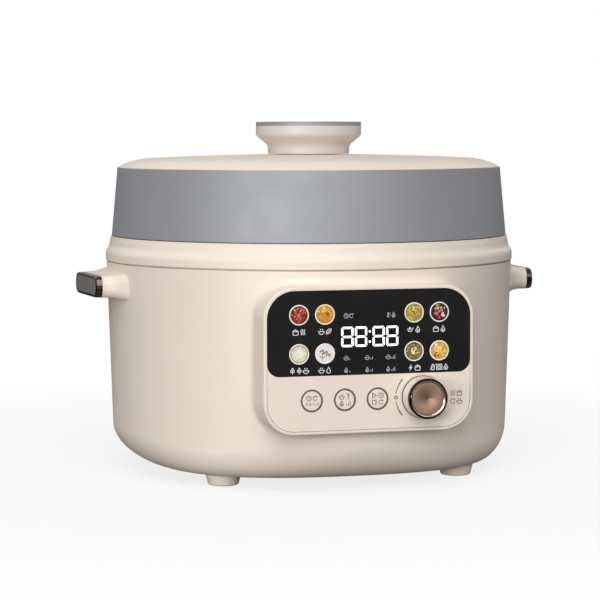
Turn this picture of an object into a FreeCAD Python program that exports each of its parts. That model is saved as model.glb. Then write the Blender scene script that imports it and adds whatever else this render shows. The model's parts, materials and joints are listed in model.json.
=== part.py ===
import FreeCAD
import Part
import os
from math import atan2, cos, hypot, pi, radians, sin, sqrt
from FreeCAD import Vector

# Electric pressure cooker. Millimetres. Origin on the surface it stands on, below the
# centre of the pot. +Z up, control panel towards -Y, carrying handles towards +X and -X.

# ---------------------------------------------------------------- driving dimensions
# housing
FLOOR_GAP = 7.8               # underside of the housing above the worktop
BOTTOM_RISE = 25.0            # height of the rounded lower edge
BOTTOM_HALF_WIDTH = 119.3     # half width of the flat underside, a rounded square
BOTTOM_SQUARENESS = 2.73      # exponent of that rounded square, 2 would be a circle
EDGE_POWER = 1.73             # how full the rounded lower edge is
SQUARENESS_FADE = 0.88        # how fast the square turns into a circle going up
WALL_TOP_Z = 151.95
WALL_TOP_R = 149.2
WALL_SLOPE = 0.0322           # the wall widens by this much per millimetre of height
WALL = 2.5
SECTION_POINTS = 64           # points that guide each level of the wall
EDGE_LEVELS = 9

# ring on top of the housing, and the pot well
RING_TOP_Z = 170.2
RING_SEAM_Z = 152.7
RING_R = 149.85
RING_LIP_R = 146.0
LOCK_R = 139.0                # clear radius of the steel lock ring
LOCK_T = 2.0
LEDGE_Z = 151.0               # ledge the pot's flange hangs on
LINER_R = 134.0
LINER_T = 1.2
LINER_FLOOR_Z = 30.0

# pot
POT_R = 130.0
POT_T = 2.0
POT_BOTTOM_Z = 46.0
POT_CORNER_R = 22.0
POT_FLANGE_R = 137.0
POT_RIM_Z = 153.0

# lid
DOME_Z = 229.5
CROWN_R = 2486.0              # radius of the nearly flat crown
CROWN_EDGE = 118.0            # where the crown turns into the shoulder
SHOULDER_R = 53.0
DOME_EDGE = 140.8
COVER_T = 2.5
BAND_TOP_Z = 219.7
BAND_FOOT_Z = 170.9
BAND_FOOT_R = 145.3
BAND_T = 1.6
CHASSIS_R = 137.3
CHASSIS_Z = 156.0             # underside of the lid chassis
CHASSIS_T = 2.5
POST_AT = 112.0               # radius of the four screw posts
VENT_Y = 95.0                 # pressure valve and steam grille
VENT_GRILLE_R = 14.0
FLOAT_AT = (30.0, 92.0)       # float valve

# lid knob, cam and latches
KNOB_R = 38.8
KNOB_NECK_R = 30.0
KNOB_FOOT_Z = 229.8
KNOB_CAP_Z = 250.2
KNOB_TOP_Z = 253.2
BUSH_R = 9.0
SHAFT_R = 6.0
RUNNING = 0.05                # radial running clearance of shafts
LATCH_ANGLES = (45, 135, 225, 315)
LATCH_TRAVEL = 8.0
KNOB_TURN = 45.0              # degrees of knob that throw the latches fully
LATCH_W = 22.0
LATCH_T = 4.0
LATCH_Z = 158.8
LATCH_TIP_R = 136.2
LATCH_PIN_AT = 40.0
LATCH_PIN_R = 3.0
CAM_R = 58.0
CAM_Z = 164.0
CAM_T = 3.0

# control panel
PANEL_Y = -156.0              # plane of the panel's lip
PANEL_HALF = 74.0
PANEL_Z = (42.5, 142.2)
PANEL_CORNER = 21.5
LIP = 2.3
POD_BLEND = 5.0               # fillet between the pod and the round wall
FASCIA_Y = -155.6
FASCIA_T = 2.0
WINDOW_T = 0.8
WINDOW_Z = (82.3, 139.7)
WINDOW_FOOT_CORNER = 8.5
DISH_X = (-49.4, -31.4, 31.4, 49.4)
DISH_Z = (123.6, 97.3)
DISH_R = 6.9
DIGITS_HALF = 21.0
DIGITS_Z = (99.0, 117.5)
BUTTON_X = (-40.6, -17.5, 5.5)
BUTTON_Z = 65.6
BUTTON_R = 6.5
BUTTON_RING_R = 7.75
BUTTON_TRAVEL = 0.8
DIAL_X = 37.2
DIAL_Z = 66.0
DIAL_BASE_R = 14.2
DIAL_FRONT_R = 13.7
DIAL_FRONT_Y = -169.8
DIAL_FACE_R = 10.3
DIAL_DISH_R = 15.4
BOARD_Y = -147.6              # front of the display board

# handles
HANDLE_END_X = 167.0
HANDLE_SWEEP = 0.066          # the end faces lean outwards by this much towards the back
TRIM_W = 4.8
HANDLE_END_HALF = 31.5
HANDLE_ROOT_HALF = 43.0
HANDLE_END_Z = (128.4, 143.8)
HANDLE_ROOT_Z = (125.8, 146.0)
HANDLE_AXIS_Z = 136.0
HANDLE_EDGE_R = 6.5
HANDLE_WALL = 2.6
HANDLE_SCREW_Y = 20.0

# underside
COVER_R = 103.6
COVER_SCREW_AT = 97.0
FOOT_AT = 121.0
FOOT_ANGLES = (45, 135, 225, 315)
FOOT_TOP_R = 12.5
FOOT_R = 11.0
PAD_R = 8.0

# heater and sensor
PLATE_R = 95.0
PLATE_Z = (37.7, 45.7)
ELEMENT_R = 62.0
ELEMENT_WIRE = 4.2
SENSOR_R = 14.0
SENSOR_TOP_Z = 45.8
GUIDE_GAP = 0.3

# power electronics in the base
BOARD_X = (-84.0, 6.0)
BOARD_DEPTH = (26.0, 86.0)
BOARD_Z = 15.0
BOARD_T = 1.6

# mains inlet at the back
INLET_HALF = 17.0
INLET_Z = (34.0, 66.0)
INLET_BACK_Y = 165.5
SOCKET_HALF = 12.2
SOCKET_Z = (41.8, 58.2)
SOCKET_DEPTH = 16.0

UP = Vector(0, 0, 1)
BACK = Vector(0, 1, 0)
SIDE = Vector(1, 0, 0)
ORIGIN = Vector(0, 0, 0)


# ---------------------------------------------------------------- helpers
def save(name, *solids):
    """Write one node: a single solid, or a group of identical pieces."""
    pieces = [solid for shape in solids for solid in shape.Solids]
    shape = pieces[0] if len(pieces) == 1 else Part.makeCompound(pieces)
    shape.exportStep(os.path.join("parts", name + ".step"))


def outline(points, place):
    """Closed wire. A point is (a, b), or (a, b, mid_a, mid_b) for an arc that ends there."""
    edges = []
    start = place(*points[0][:2])
    here = start
    for point in list(points[1:]) + [points[0][:2]]:
        there = place(*point[:2])
        if here.isEqual(there, 1e-6):
            continue
        if len(point) == 4:
            edges.append(Part.Arc(here, place(*point[2:]), there).toShape())
        else:
            edges.append(Part.LineSegment(here, there).toShape())
        here = there
    return Part.Wire(edges)


def lathe(points):
    """Solid of revolution about Z from (radius, height) points."""
    face = Part.Face(outline(points, lambda r, z: Vector(r, 0, z)))
    return face.revolve(ORIGIN, UP, 360)


def panel_lathe(points):
    """Solid of revolution about the dial's own axis from (radius, y) points."""
    face = Part.Face(outline(points, lambda r, y: Vector(DIAL_X + r, y, DIAL_Z)))
    return face.revolve(Vector(DIAL_X, 0, DIAL_Z), BACK, 360)


def tube(r_in, r_out, z0, z1, x=0.0, y=0.0):
    outer = Part.makeCylinder(r_out, z1 - z0, Vector(x, y, z0))
    if r_in <= 0:
        return outer
    return outer.cut(Part.makeCylinder(r_in, z1 - z0 + 2, Vector(x, y, z0 - 1)))


def rod(radius, start, direction, length):
    return Part.makeCylinder(radius, length, start, direction)


def block(x, y, z):
    """Box between pairs of coordinates."""
    return Part.makeBox(x[1] - x[0], y[1] - y[0], z[1] - z[0], Vector(x[0], y[0], z[0]))


def turned(shape, angle):
    """Copy of a shape turned about the cooker's axis."""
    copy = shape.copy()
    copy.rotate(ORIGIN, UP, angle)
    return copy


def on_circle(radius, angle):
    return radius * cos(radians(angle)), radius * sin(radians(angle))


def rounded(x, z, r_foot, r_head, place):
    """Rounded rectangle with its own radius for the lower and for the upper corners."""
    c = 1 - sqrt(0.5)
    x0, x1 = x
    z0, z1 = z
    f, h = r_foot, r_head
    return outline([
        (x0 + f, z0), (x1 - f, z0),
        (x1, z0 + f, x1 - c * f, z0 + c * f), (x1, z1 - h),
        (x1 - h, z1, x1 - c * h, z1 - c * h), (x0 + h, z1),
        (x0, z1 - h, x0 + c * h, z1 - c * h), (x0, z0 + f),
        (x0 + f, z0, x0 + c * f, z0 + c * f),
    ], place)


def panel_plate(half, z, r_foot, r_head, y0, y1):
    """Rounded plate parallel to the panel, from y0 (front) to y1 (back)."""
    wire = rounded((-half, half), z, r_foot, r_head, lambda a, b: Vector(a, y0, b))
    return Part.Face(wire).extrude(Vector(0, y1 - y0, 0))


def wall_r(z):
    return WALL_TOP_R - WALL_SLOPE * (WALL_TOP_Z - 1 - z)


def dome_z(r):
    """Height of the lid's outer surface."""
    if r <= CROWN_EDGE:
        return DOME_Z - CROWN_R + sqrt(CROWN_R ** 2 - r ** 2)
    edge_z = DOME_Z - CROWN_R + sqrt(CROWN_R ** 2 - CROWN_EDGE ** 2)
    lean = CROWN_EDGE / CROWN_R
    centre_r = CROWN_EDGE - SHOULDER_R * lean
    centre_z = edge_z - SHOULDER_R * sqrt(1 - lean ** 2)
    return centre_z + sqrt(SHOULDER_R ** 2 - (r - centre_r) ** 2)


# ---------------------------------------------------------------- housing
def level_wire(z, reach, power, inset):
    """One level of the housing: a superellipse that never passes the conical wall."""
    points = []
    for k in range(SECTION_POINTS):
        a = 2 * pi * k / SECTION_POINTS
        r = reach / (abs(cos(a)) ** power + abs(sin(a)) ** power) ** (1 / power)
        r = min(r, wall_r(z)) - inset
        points.append(Vector(r * cos(a), r * sin(a), z))
    curve = Part.BSplineCurve()
    curve.interpolate(points, PeriodicFlag=True)
    return Part.Wire(curve.toShape())


def housing_form(inset, top_z):
    """Closed solid of the housing's outside, or of its inside when inset is the wall."""
    edge_top = wall_r(FLOOR_GAP + BOTTOM_RISE)
    levels = []
    for k in range(EDGE_LEVELS):
        a = 0.5 * pi * k / (EDGE_LEVELS - 1)
        t = sin(a) ** (2 / EDGE_POWER)
        rise = 1 - cos(a) ** (2 / EDGE_POWER) if k < EDGE_LEVELS - 1 else 1
        z = FLOOR_GAP + inset + (BOTTOM_RISE - inset) * rise
        reach = BOTTOM_HALF_WIDTH + (edge_top - BOTTOM_HALF_WIDTH) * t
        power = 2 + (BOTTOM_SQUARENESS - 2) * max(0.0, 1 - t) ** SQUARENESS_FADE
        levels.append(level_wire(z, reach, power, inset))
    lower = Part.makeLoft(levels, True, False)
    upper = Part.makeLoft([levels[-1], level_wire(top_z, wall_r(top_z), 2, inset)], True, True)
    return lower.fuse(upper)


def on_junction(edge):
    """True for the edges where the panel's pod meets the round wall."""
    for k in range(5):
        share = (k + 0.5) / 5
        p = edge.valueAt(edge.FirstParameter + share * (edge.LastParameter - edge.FirstParameter))
        if p.y > 0 or abs(p.x) > PANEL_HALF + 0.1:
            return False
        if not PANEL_Z[0] - 0.1 < p.z < PANEL_Z[1] + 0.1:
            return False
        if abs(hypot(p.x, p.y) - wall_r(p.z)) > 0.1:
            return False
    return True


def pod_outside():
    """Raised block that carries the control panel, with a softened front edge."""
    pod = panel_plate(PANEL_HALF, PANEL_Z, PANEL_CORNER, PANEL_CORNER, PANEL_Y, -120.0)
    front = [e for e in pod.Edges if abs(e.CenterOfMass.y - PANEL_Y) < 0.01]
    return pod.makeFillet(1.1, front)


def housing_with_pod():
    outside = housing_form(0.0, WALL_TOP_Z).fuse(pod_outside()).removeSplitter()
    junction = [e for e in outside.Edges if on_junction(e)]
    return outside.makeFillet(POD_BLEND, junction)


def shell_bosses():
    """Lugs inside the housing's floor for the base cover's screws."""
    lug = block((90, 108), (-7, 7), (FLOOR_GAP + WALL, FLOOR_GAP + WALL + 4.0))
    hole = tube(0, 1.6, 0, 30, COVER_SCREW_AT)
    return [turned(lug.cut(hole), 90 * k) for k in range(4)]


def housing_shell(outside):
    shell = outside.cut(housing_form(WALL, WALL_TOP_Z + 3))
    lip_half = PANEL_HALF - LIP
    lip_z = (PANEL_Z[0] + LIP, PANEL_Z[1] - LIP)
    lip_corner = PANEL_CORNER - LIP
    ledge_y = FASCIA_Y + FASCIA_T
    shell = shell.cut(panel_plate(lip_half, lip_z, lip_corner, lip_corner, -160.0, ledge_y))
    inner_z = (lip_z[0] + 2.5, lip_z[1] - 2.5)
    shell = shell.cut(panel_plate(lip_half - 2.5, inner_z, lip_corner - 2.5, lip_corner - 2.5,
                                  ledge_y - 1, -110.0))
    shell = shell.cut(tube(0, COVER_R + 0.4, 0, 20))
    for lug in shell_bosses():
        shell = shell.fuse(lug)
    shell = shell.cut(block((-INLET_HALF, INLET_HALF), (100, 175), INLET_Z))
    for side in (-1, 1):
        for y in (-HANDLE_SCREW_Y, HANDLE_SCREW_Y):
            shell = shell.cut(rod(2.0, Vector(side * 130, y, HANDLE_AXIS_Z), SIDE * side, 30))
    for angle in FOOT_ANGLES:
        x, y = on_circle(FOOT_AT, angle)
        shell = shell.cut(tube(0, 2.2, 0, 20, x, y))
    return shell


def housing_top_ring():
    ring = lathe([
        (LOCK_R + LOCK_T, RING_SEAM_Z - 1.7), (144.2, RING_SEAM_Z - 1.7), (144.2, 147.0),
        (146.4, 147.0), (146.4, RING_SEAM_Z), (149.3, RING_SEAM_Z),
        (RING_R, RING_SEAM_Z + 0.7), (RING_R, 157.4),
        (148.6, 161.1, 149.5, 159.4), (146.95, 164.9, 147.5, 162.9),
        (146.1, 169.2, 146.65, 167.1), (RING_LIP_R - 0.5, RING_TOP_Z, 145.95, 169.95),
        (LOCK_R + 0.2, RING_TOP_Z), (LOCK_R + 0.2, RING_TOP_Z - 1.0),
        (LOCK_R + LOCK_T, RING_TOP_Z - 1.0),
    ])
    pocket = block((LOCK_R, 145.2), (-12.2, 12.2), (LATCH_Z - 0.9, LATCH_Z + LATCH_T + 0.9))
    for angle in LATCH_ANGLES:
        ring = ring.cut(turned(pocket, angle))
    return ring


def lock_ring():
    ring = tube(LOCK_R, LOCK_R + LOCK_T, LEDGE_Z + 0.2, RING_TOP_Z - 1.0)
    window = block((LOCK_R - 5, LOCK_R + 5), (-11.7, 11.7), (LATCH_Z - 0.5, LATCH_Z + LATCH_T + 0.5))
    for angle in LATCH_ANGLES:
        ring = ring.cut(turned(window, angle))
    return ring


def inner_liner():
    """Sheet metal well: floor, wall and the ledge that carries the pot."""
    r, t, z = LINER_R, LINER_T, LINER_FLOOR_Z
    liner = lathe([
        (16.2, z), (r - 4 + t, z), (r + t, z + 4, r - 1.2 + t, z + 1.2),
        (r + t, LEDGE_Z - t), (143.4, LEDGE_Z - t), (143.4, LEDGE_Z),
        (r, LEDGE_Z), (r, z + t + 3), (r - 3, z + t, r - 0.9, z + t + 0.9), (16.2, z + t),
    ])
    for angle in (80, 100):
        x, y = on_circle(ELEMENT_R, angle)
        liner = liner.cut(tube(0, 4.0, 20, 40, x, y))
    return liner


def base_cover():
    """Removable plate in the underside, with ventilation slots."""
    cover = tube(0, COVER_R, FLOOR_GAP, FLOOR_GAP + WALL)
    cover = cover.makeFillet(0.8, [e for e in cover.Edges if abs(e.CenterOfMass.z - FLOOR_GAP) < 0.01])
    for row in range(-5, 6):
        half = sqrt(52.0 ** 2 - (row * 8.0) ** 2)
        cover = cover.cut(block((-half, half), (row * 8.0 - 1.4, row * 8.0 + 1.4), (0, 20)))
    for k in range(4):
        x, y = on_circle(COVER_SCREW_AT, 90 * k)
        cover = cover.cut(tube(0, 2.0, 0, 20, x, y))
        cover = cover.cut(tube(0, 3.6, 0, FLOOR_GAP + 1.2, x, y))
    return cover


def screw(x, y, head_z, head_r, shank_r, length, upwards=True):
    """Pan head screw along Z, driven from head_z."""
    way = 1 if upwards else -1
    head = rod(head_r, Vector(x, y, head_z), UP * way, 1.8)
    shank = rod(shank_r, Vector(x, y, head_z + 1.7 * way), UP * way, length)
    cross = [block((x - a, x + a), (y - b, y + b), (head_z - 0.8, head_z + 0.8))
             for a, b in ((1.8, 0.35), (0.35, 1.8))]
    return head.fuse(shank).cut(cross[0]).cut(cross[1])


def cover_screws():
    return [screw(*on_circle(COVER_SCREW_AT, 90 * k), FLOOR_GAP - 0.6, 3.2, 1.5, 5.0) for k in range(4)]


def foot():
    """Moulded foot on the +X axis; the pad is let into its underside."""
    body = lathe([
        (0, 0.4), (FOOT_R - 1.8, 0.4), (FOOT_R, 2.2, FOOT_R - 0.5, 0.95),
        (FOOT_TOP_R, FLOOR_GAP), (0, FLOOR_GAP),
    ])
    stud = tube(0, 2.1, FLOOR_GAP - 0.2, FLOOR_GAP + 5)
    body = body.fuse(stud).cut(tube(0, PAD_R, -1, 2.0))
    body.translate(Vector(FOOT_AT, 0, 0))
    return body


def foot_pad():
    pad = lathe([
        (0, 0), (PAD_R - 0.9, 0), (PAD_R - 0.2, 0.7, PAD_R - 0.4, 0.25), (PAD_R - 0.2, 2.0), (0, 2.0),
    ])
    pad.translate(Vector(FOOT_AT, 0, 0))
    return pad


# ---------------------------------------------------------------- handles
def handle_level(x, half, z, inset):
    radius = HANDLE_EDGE_R - inset * 0.7
    return rounded((-half + inset, half - inset), (z[0] + inset, z[1] - inset), radius, radius,
                   lambda a, b: Vector(x + HANDLE_SWEEP * a, a, b))


def handle_form(inset):
    """Grip from inside the wall to the trim, slimmer towards the end."""
    end_x = HANDLE_END_X - TRIM_W
    levels = [
        handle_level(136.0, HANDLE_ROOT_HALF + 2.2, (HANDLE_ROOT_Z[0] - 1.0, HANDLE_ROOT_Z[1] + 0.7), inset),
        handle_level(144.0, HANDLE_ROOT_HALF, HANDLE_ROOT_Z, inset),
        handle_level(150.0, HANDLE_END_HALF + 5.5, (HANDLE_END_Z[0] - 1.1, HANDLE_END_Z[1] + 1.2), inset),
        handle_level(end_x, HANDLE_END_HALF + 0.4, (HANDLE_END_Z[0] - 0.2, HANDLE_END_Z[1] + 0.2), inset),
    ]
    return Part.makeLoft(levels, True, False)


def handle():
    """Hollow grip on the +X side, reaching into the housing, which is cut off it later."""
    grip = handle_form(0.0).cut(handle_form(HANDLE_WALL))
    for y in (-HANDLE_SCREW_Y, HANDLE_SCREW_Y):
        boss = block((138, 158), (y - 4.5, y + 4.5), (120, 150)).common(handle_form(0.0))
        grip = grip.fuse(boss)
        grip = grip.cut(rod(1.9, Vector(130, y, HANDLE_AXIS_Z), SIDE, 26))
    return grip


def handle_trim():
    start = HANDLE_END_X - TRIM_W
    outer = Part.makeLoft([
        handle_level(start, HANDLE_END_HALF + 0.3, HANDLE_END_Z, 0.0),
        handle_level(HANDLE_END_X - 0.8, HANDLE_END_HALF, HANDLE_END_Z, 0.1),
        handle_level(HANDLE_END_X, HANDLE_END_HALF, HANDLE_END_Z, 0.8),
    ], True, True)
    bore = Part.makeLoft([
        handle_level(start - 1, HANDLE_END_HALF, HANDLE_END_Z, 1.5),
        handle_level(HANDLE_END_X + 1, HANDLE_END_HALF, HANDLE_END_Z, 1.5),
    ], True, True)
    return outer.cut(bore)


def handle_end_plate():
    return Part.makeLoft([
        handle_level(HANDLE_END_X - TRIM_W, HANDLE_END_HALF, HANDLE_END_Z, 1.6),
        handle_level(HANDLE_END_X - 0.7, HANDLE_END_HALF, HANDLE_END_Z, 1.6),
        handle_level(HANDLE_END_X - 0.3, HANDLE_END_HALF, HANDLE_END_Z, 2.0),
    ], True, True)


def mirrored(shape):
    return shape.mirror(ORIGIN, SIDE)


def handle_screws():
    """Four screws driven outwards from inside the wall."""
    screws = []
    for side in (-1, 1):
        for y in (-HANDLE_SCREW_Y, HANDLE_SCREW_Y):
            start = sqrt((wall_r(HANDLE_AXIS_Z) - WALL - 0.6) ** 2 - (abs(y) + 3) ** 2)
            head = rod(3.4, Vector(side * (start - 2), y, HANDLE_AXIS_Z), SIDE * side, 2)
            shank = rod(1.8, Vector(side * (start - 0.1), y, HANDLE_AXIS_Z), SIDE * side, 11.5)
            screws.append(head.fuse(shank))
    return screws


# ---------------------------------------------------------------- control panel
def panel_fascia():
    """Front plate. Its upper field is lower by the window's thickness."""
    gap = 0.2
    half = PANEL_HALF - LIP - gap
    z = (PANEL_Z[0] + LIP + gap, PANEL_Z[1] - LIP - gap)
    corner = PANEL_CORNER - LIP - gap
    fascia = panel_plate(half, z, corner, corner, FASCIA_Y, FASCIA_Y + FASCIA_T)
    bed = panel_plate(half + 5, (WINDOW_Z[0], WINDOW_Z[1] + 5), WINDOW_FOOT_CORNER + 5, 1.0,
                      FASCIA_Y - 1, FASCIA_Y + WINDOW_T)
    fascia = fascia.cut(bed)
    fascia = fascia.fuse(window_corner_fill(half))
    for x in DISH_X:
        for dish_z in DISH_Z:
            fascia = fascia.cut(rod(DISH_R - 0.6, Vector(x, -160, dish_z), BACK, 10))
    fascia = fascia.cut(block((-DIGITS_HALF, DIGITS_HALF), (-160, -150), DIGITS_Z))
    for x in BUTTON_X:
        fascia = fascia.cut(rod(BUTTON_RING_R + 0.05, Vector(x, -160, BUTTON_Z), BACK, 10))
    fascia = fascia.cut(rod(DIAL_DISH_R, Vector(DIAL_X, -160, DIAL_Z), BACK, 160 + FASCIA_Y + 0.4))
    fascia = fascia.cut(rod(4.0, Vector(DIAL_X, -160, DIAL_Z), BACK, 10))
    return fascia.removeSplitter()


def window_corner_fill(half):
    """The two fillets of fascia that round the window's lower corners."""
    strip = panel_plate(half, (WINDOW_Z[0], WINDOW_Z[0] + 18), 0.01, 0.01,
                        FASCIA_Y, FASCIA_Y + WINDOW_T + 0.01)
    hole = panel_plate(half, (WINDOW_Z[0], WINDOW_Z[0] + 40), WINDOW_FOOT_CORNER, 0.01,
                       FASCIA_Y - 1, FASCIA_Y + WINDOW_T + 1)
    return strip.cut(hole)


def display_window():
    gap = 0.2
    half = PANEL_HALF - LIP - gap
    z_top = PANEL_Z[1] - LIP - gap
    corner = PANEL_CORNER - LIP - gap
    return panel_plate(half, (WINDOW_Z[0], z_top), WINDOW_FOOT_CORNER, corner,
                       FASCIA_Y, FASCIA_Y + WINDOW_T)


def display_board():
    return panel_plate(64.0, (50.0, 136.0), 6.0, 12.0, BOARD_Y, BOARD_Y + 1.6)


def light_shade():
    """Moulding on the board: a well behind each menu picture and one behind the digits."""
    front_y = FASCIA_Y + WINDOW_T + 0.05
    shade = block((-58.0, 58.0), (BOARD_Y - 1.4, BOARD_Y), (88.0, 132.0))
    shade = shade.fuse(block((-DIGITS_HALF + 0.3, DIGITS_HALF - 0.3), (front_y, BOARD_Y),
                             (DIGITS_Z[0] + 0.3, DIGITS_Z[1] - 0.3)))
    for x in DISH_X:
        for z in DISH_Z:
            shade = shade.fuse(rod(DISH_R - 0.8, Vector(x, front_y, z), BACK, BOARD_Y - front_y))
            shade = shade.cut(rod(DISH_R - 1.8, Vector(x, -160, z), BACK, 160 + BOARD_Y - 0.8))
    return shade


def button_cap(x):
    front_y = FASCIA_Y - 0.2
    cap = rod(BUTTON_R, Vector(x, front_y, BUTTON_Z), BACK, 2.6)
    cap = cap.makeFillet(0.35, [e for e in cap.Edges if abs(e.CenterOfMass.y - front_y) < 0.01])
    back_y = FASCIA_Y + FASCIA_T + 0.2
    cap = cap.fuse(rod(BUTTON_RING_R - 0.5, Vector(x, back_y, BUTTON_Z), BACK, 0.8))
    return cap.fuse(rod(1.8, Vector(x, back_y, BUTTON_Z), BACK, -151.0 - back_y))


def button_ring(x):
    ring = rod(BUTTON_RING_R, Vector(x, FASCIA_Y - 0.1, BUTTON_Z), BACK, FASCIA_T + 0.1)
    return ring.cut(rod(BUTTON_R + 0.15, Vector(x, -160, BUTTON_Z), BACK, 10))


def tact_switch(x):
    plunger_tip = -151.0 + BUTTON_TRAVEL + 0.15
    body = block((x - 3, x + 3), (BOARD_Y - 1.8, BOARD_Y), (BUTTON_Z - 3, BUTTON_Z + 3))
    return body.fuse(rod(1.4, Vector(x, plunger_tip, BUTTON_Z), BACK, BOARD_Y - plunger_tip))


def dial_encoder():
    body = block((DIAL_X - 6, DIAL_X + 6), (BOARD_Y - 5.4, BOARD_Y), (DIAL_Z - 6, DIAL_Z + 6))
    return body.cut(rod(3.0 + RUNNING, Vector(DIAL_X, -160, DIAL_Z), BACK, 160 + BOARD_Y - 1.0))


def dial_skirt():
    """Cup of the dial, with the socket for the shaft inside."""
    foot_y = FASCIA_Y + 0.1
    rim_y = DIAL_FRONT_Y + 3.8
    return panel_lathe([
        (3.0, foot_y), (6.5, foot_y), (6.5, rim_y + 1.8), (DIAL_FRONT_R - 2.0, rim_y + 1.8),
        (DIAL_BASE_R - 1.8, foot_y), (DIAL_BASE_R, foot_y), (DIAL_FRONT_R + 0.05, rim_y),
        (3.0, rim_y),
    ])


def dial_rim():
    """Metal ring on the front of the dial, bevelled down to the face."""
    rim_y = DIAL_FRONT_Y + 3.8
    return panel_lathe([
        (DIAL_FACE_R, rim_y), (DIAL_FRONT_R, rim_y), (DIAL_FRONT_R, DIAL_FRONT_Y + 0.7),
        (DIAL_FRONT_R - 0.7, DIAL_FRONT_Y, DIAL_FRONT_R - 0.2, DIAL_FRONT_Y + 0.2),
        (DIAL_FRONT_R - 1.5, DIAL_FRONT_Y), (DIAL_FACE_R, DIAL_FRONT_Y + 1.5),
    ])


def dial_face():
    face_y = DIAL_FRONT_Y + 1.5
    return rod(DIAL_FACE_R, Vector(DIAL_X, face_y, DIAL_Z), BACK, 2.3)


def dial_shaft():
    return rod(3.0, Vector(DIAL_X, DIAL_FRONT_Y + 3.8, DIAL_Z), BACK, BOARD_Y - 1.5 - DIAL_FRONT_Y - 3.8)


# ---------------------------------------------------------------- heater, sensor, electrics
def element_ring():
    return Part.makeTorus(ELEMENT_R, ELEMENT_WIRE, Vector(0, 0, PLATE_Z[0] - 0.6))


def heating_plate():
    plate = lathe([
        (17.0, PLATE_Z[0]), (PLATE_R - 1, PLATE_Z[0]), (PLATE_R, PLATE_Z[0] + 1),
        (PLATE_R, PLATE_Z[1] - 2), (PLATE_R - 2, PLATE_Z[1], PLATE_R - 0.6, PLATE_Z[1] - 0.6),
        (17.0, PLATE_Z[1]),
    ])
    for k in range(3):
        x, y = on_circle(82, 30 + 120 * k)
        plate = plate.fuse(tube(0, 5.0, LINER_FLOOR_Z + LINER_T, PLATE_Z[0] + 1, x, y))
    return plate.cut(element_ring())


def heating_element():
    element = element_ring()
    for angle in (80, 100):
        x, y = on_circle(ELEMENT_R, angle)
        element = element.fuse(tube(0, 2.4, 21, PLATE_Z[0] - 2, x, y))
    return element


def sensor_guide():
    guide = lathe([
        (SENSOR_R + GUIDE_GAP, 26.0), (SENSOR_R + 2.1, 26.0), (SENSOR_R + 2.1, 43.0),
        (SENSOR_R + GUIDE_GAP, 43.0),
    ])
    return guide.fuse(tube(0, SENSOR_R + 1, 23.5, 26.0))


def sensor_cap():
    z = (31.0, SENSOR_TOP_Z)
    return lathe([
        (0, z[1]), (SENSOR_R - 1, z[1]), (SENSOR_R, z[1] - 1, SENSOR_R - 0.3, z[1] - 0.3),
        (SENSOR_R, z[0]), (SENSOR_R - 1.4, z[0]), (SENSOR_R - 1.4, z[1] - 1.6), (0, z[1] - 1.6),
    ])


def sensor_spring():
    radius, wire, turns, height = 9.0, 0.7, 4, 15.6
    path = Part.makeHelix(height / turns, height, radius)
    section = Part.Wire(Part.makeCircle(wire, Vector(radius, 0, 0), BACK))
    coil = Part.Wire(path.Edges).makePipeShell([section], True, True)
    coil.translate(Vector(0, 0, 27.1))
    return coil


def thermal_fuse():
    body = rod(4.0, Vector(-48, -16, 24.5), BACK, 26)
    clip = block((-53, -43), (-8, 2), (24.5, LINER_FLOOR_Z))
    return body.fuse(clip)


def power_board():
    board = block(BOARD_X, BOARD_DEPTH, (BOARD_Z, BOARD_Z + BOARD_T))
    for x in (BOARD_X[0] + 6, BOARD_X[1] - 6):
        for y in (BOARD_DEPTH[0] + 6, BOARD_DEPTH[1] - 6):
            board = board.fuse(tube(0, 3.0, FLOOR_GAP + WALL, BOARD_Z, x, y))
    return board


def power_transformer():
    z = BOARD_Z + BOARD_T
    core = block((-78, -56), (50, 76), (z, z + 11))
    return core.fuse(block((-75, -59), (46, 80), (z + 2, z + 9)))


def filter_capacitors():
    z = BOARD_Z + BOARD_T
    return [tube(0, 5.0, z, z + 11, x, 38) for x in (-40, -26, -12)]


def inlet_level(y, inset, corner):
    return rounded((-INLET_HALF + inset, INLET_HALF - inset), (INLET_Z[0] + inset, INLET_Z[1] - inset),
                   corner, corner, lambda a, b: Vector(a, y, b))


def inlet_housing(outside):
    """Socket block that stands out of the back of the wall."""
    seat = Part.Face(inlet_level(141.0, 0.1, 5.0)).extrude(Vector(0, 6.0, 0))
    body = Part.makeLoft([inlet_level(143.0, 0.1, 5.0), inlet_level(INLET_BACK_Y, 1.2, 5.0)], True, True)
    rim = [e for e in body.Edges if abs(e.CenterOfMass.y - INLET_BACK_Y) < 0.01]
    body = body.makeFillet(1.2, rim).fuse(seat)
    flange = Part.makeLoft([inlet_level(140.0, -5.0, 10.0), inlet_level(148.6, -4.2, 9.0)], True, True)
    flange = flange.cut(outside)
    socket_wire = rounded((-SOCKET_HALF, SOCKET_HALF), SOCKET_Z, 2.0, 5.0,
                          lambda a, b: Vector(a, INLET_BACK_Y - SOCKET_DEPTH, b))
    socket = Part.Face(socket_wire).extrude(Vector(0, SOCKET_DEPTH + 2, 0))
    body = body.fuse(flange).cut(socket)
    for x, z in inlet_pin_places():
        body = body.cut(block((x - 1.0, x + 1.0), (130, 160), (z - 2.0, z + 2.0)))
    return body


def inlet_pin_places():
    return [(-7.0, 51.2), (7.0, 51.2), (0.0, 53.4)]


def inlet_pins():
    pins = []
    for x, z in inlet_pin_places():
        pin = block((x - 1.0, x + 1.0), (136.0, INLET_BACK_Y - 3.0), (z - 2.0, z + 2.0))
        tip = [e for e in pin.Edges if abs(e.CenterOfMass.y - (INLET_BACK_Y - 3.0)) < 0.01]
        pins.append(pin.makeChamfer(0.4, tip))
    return pins


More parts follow.
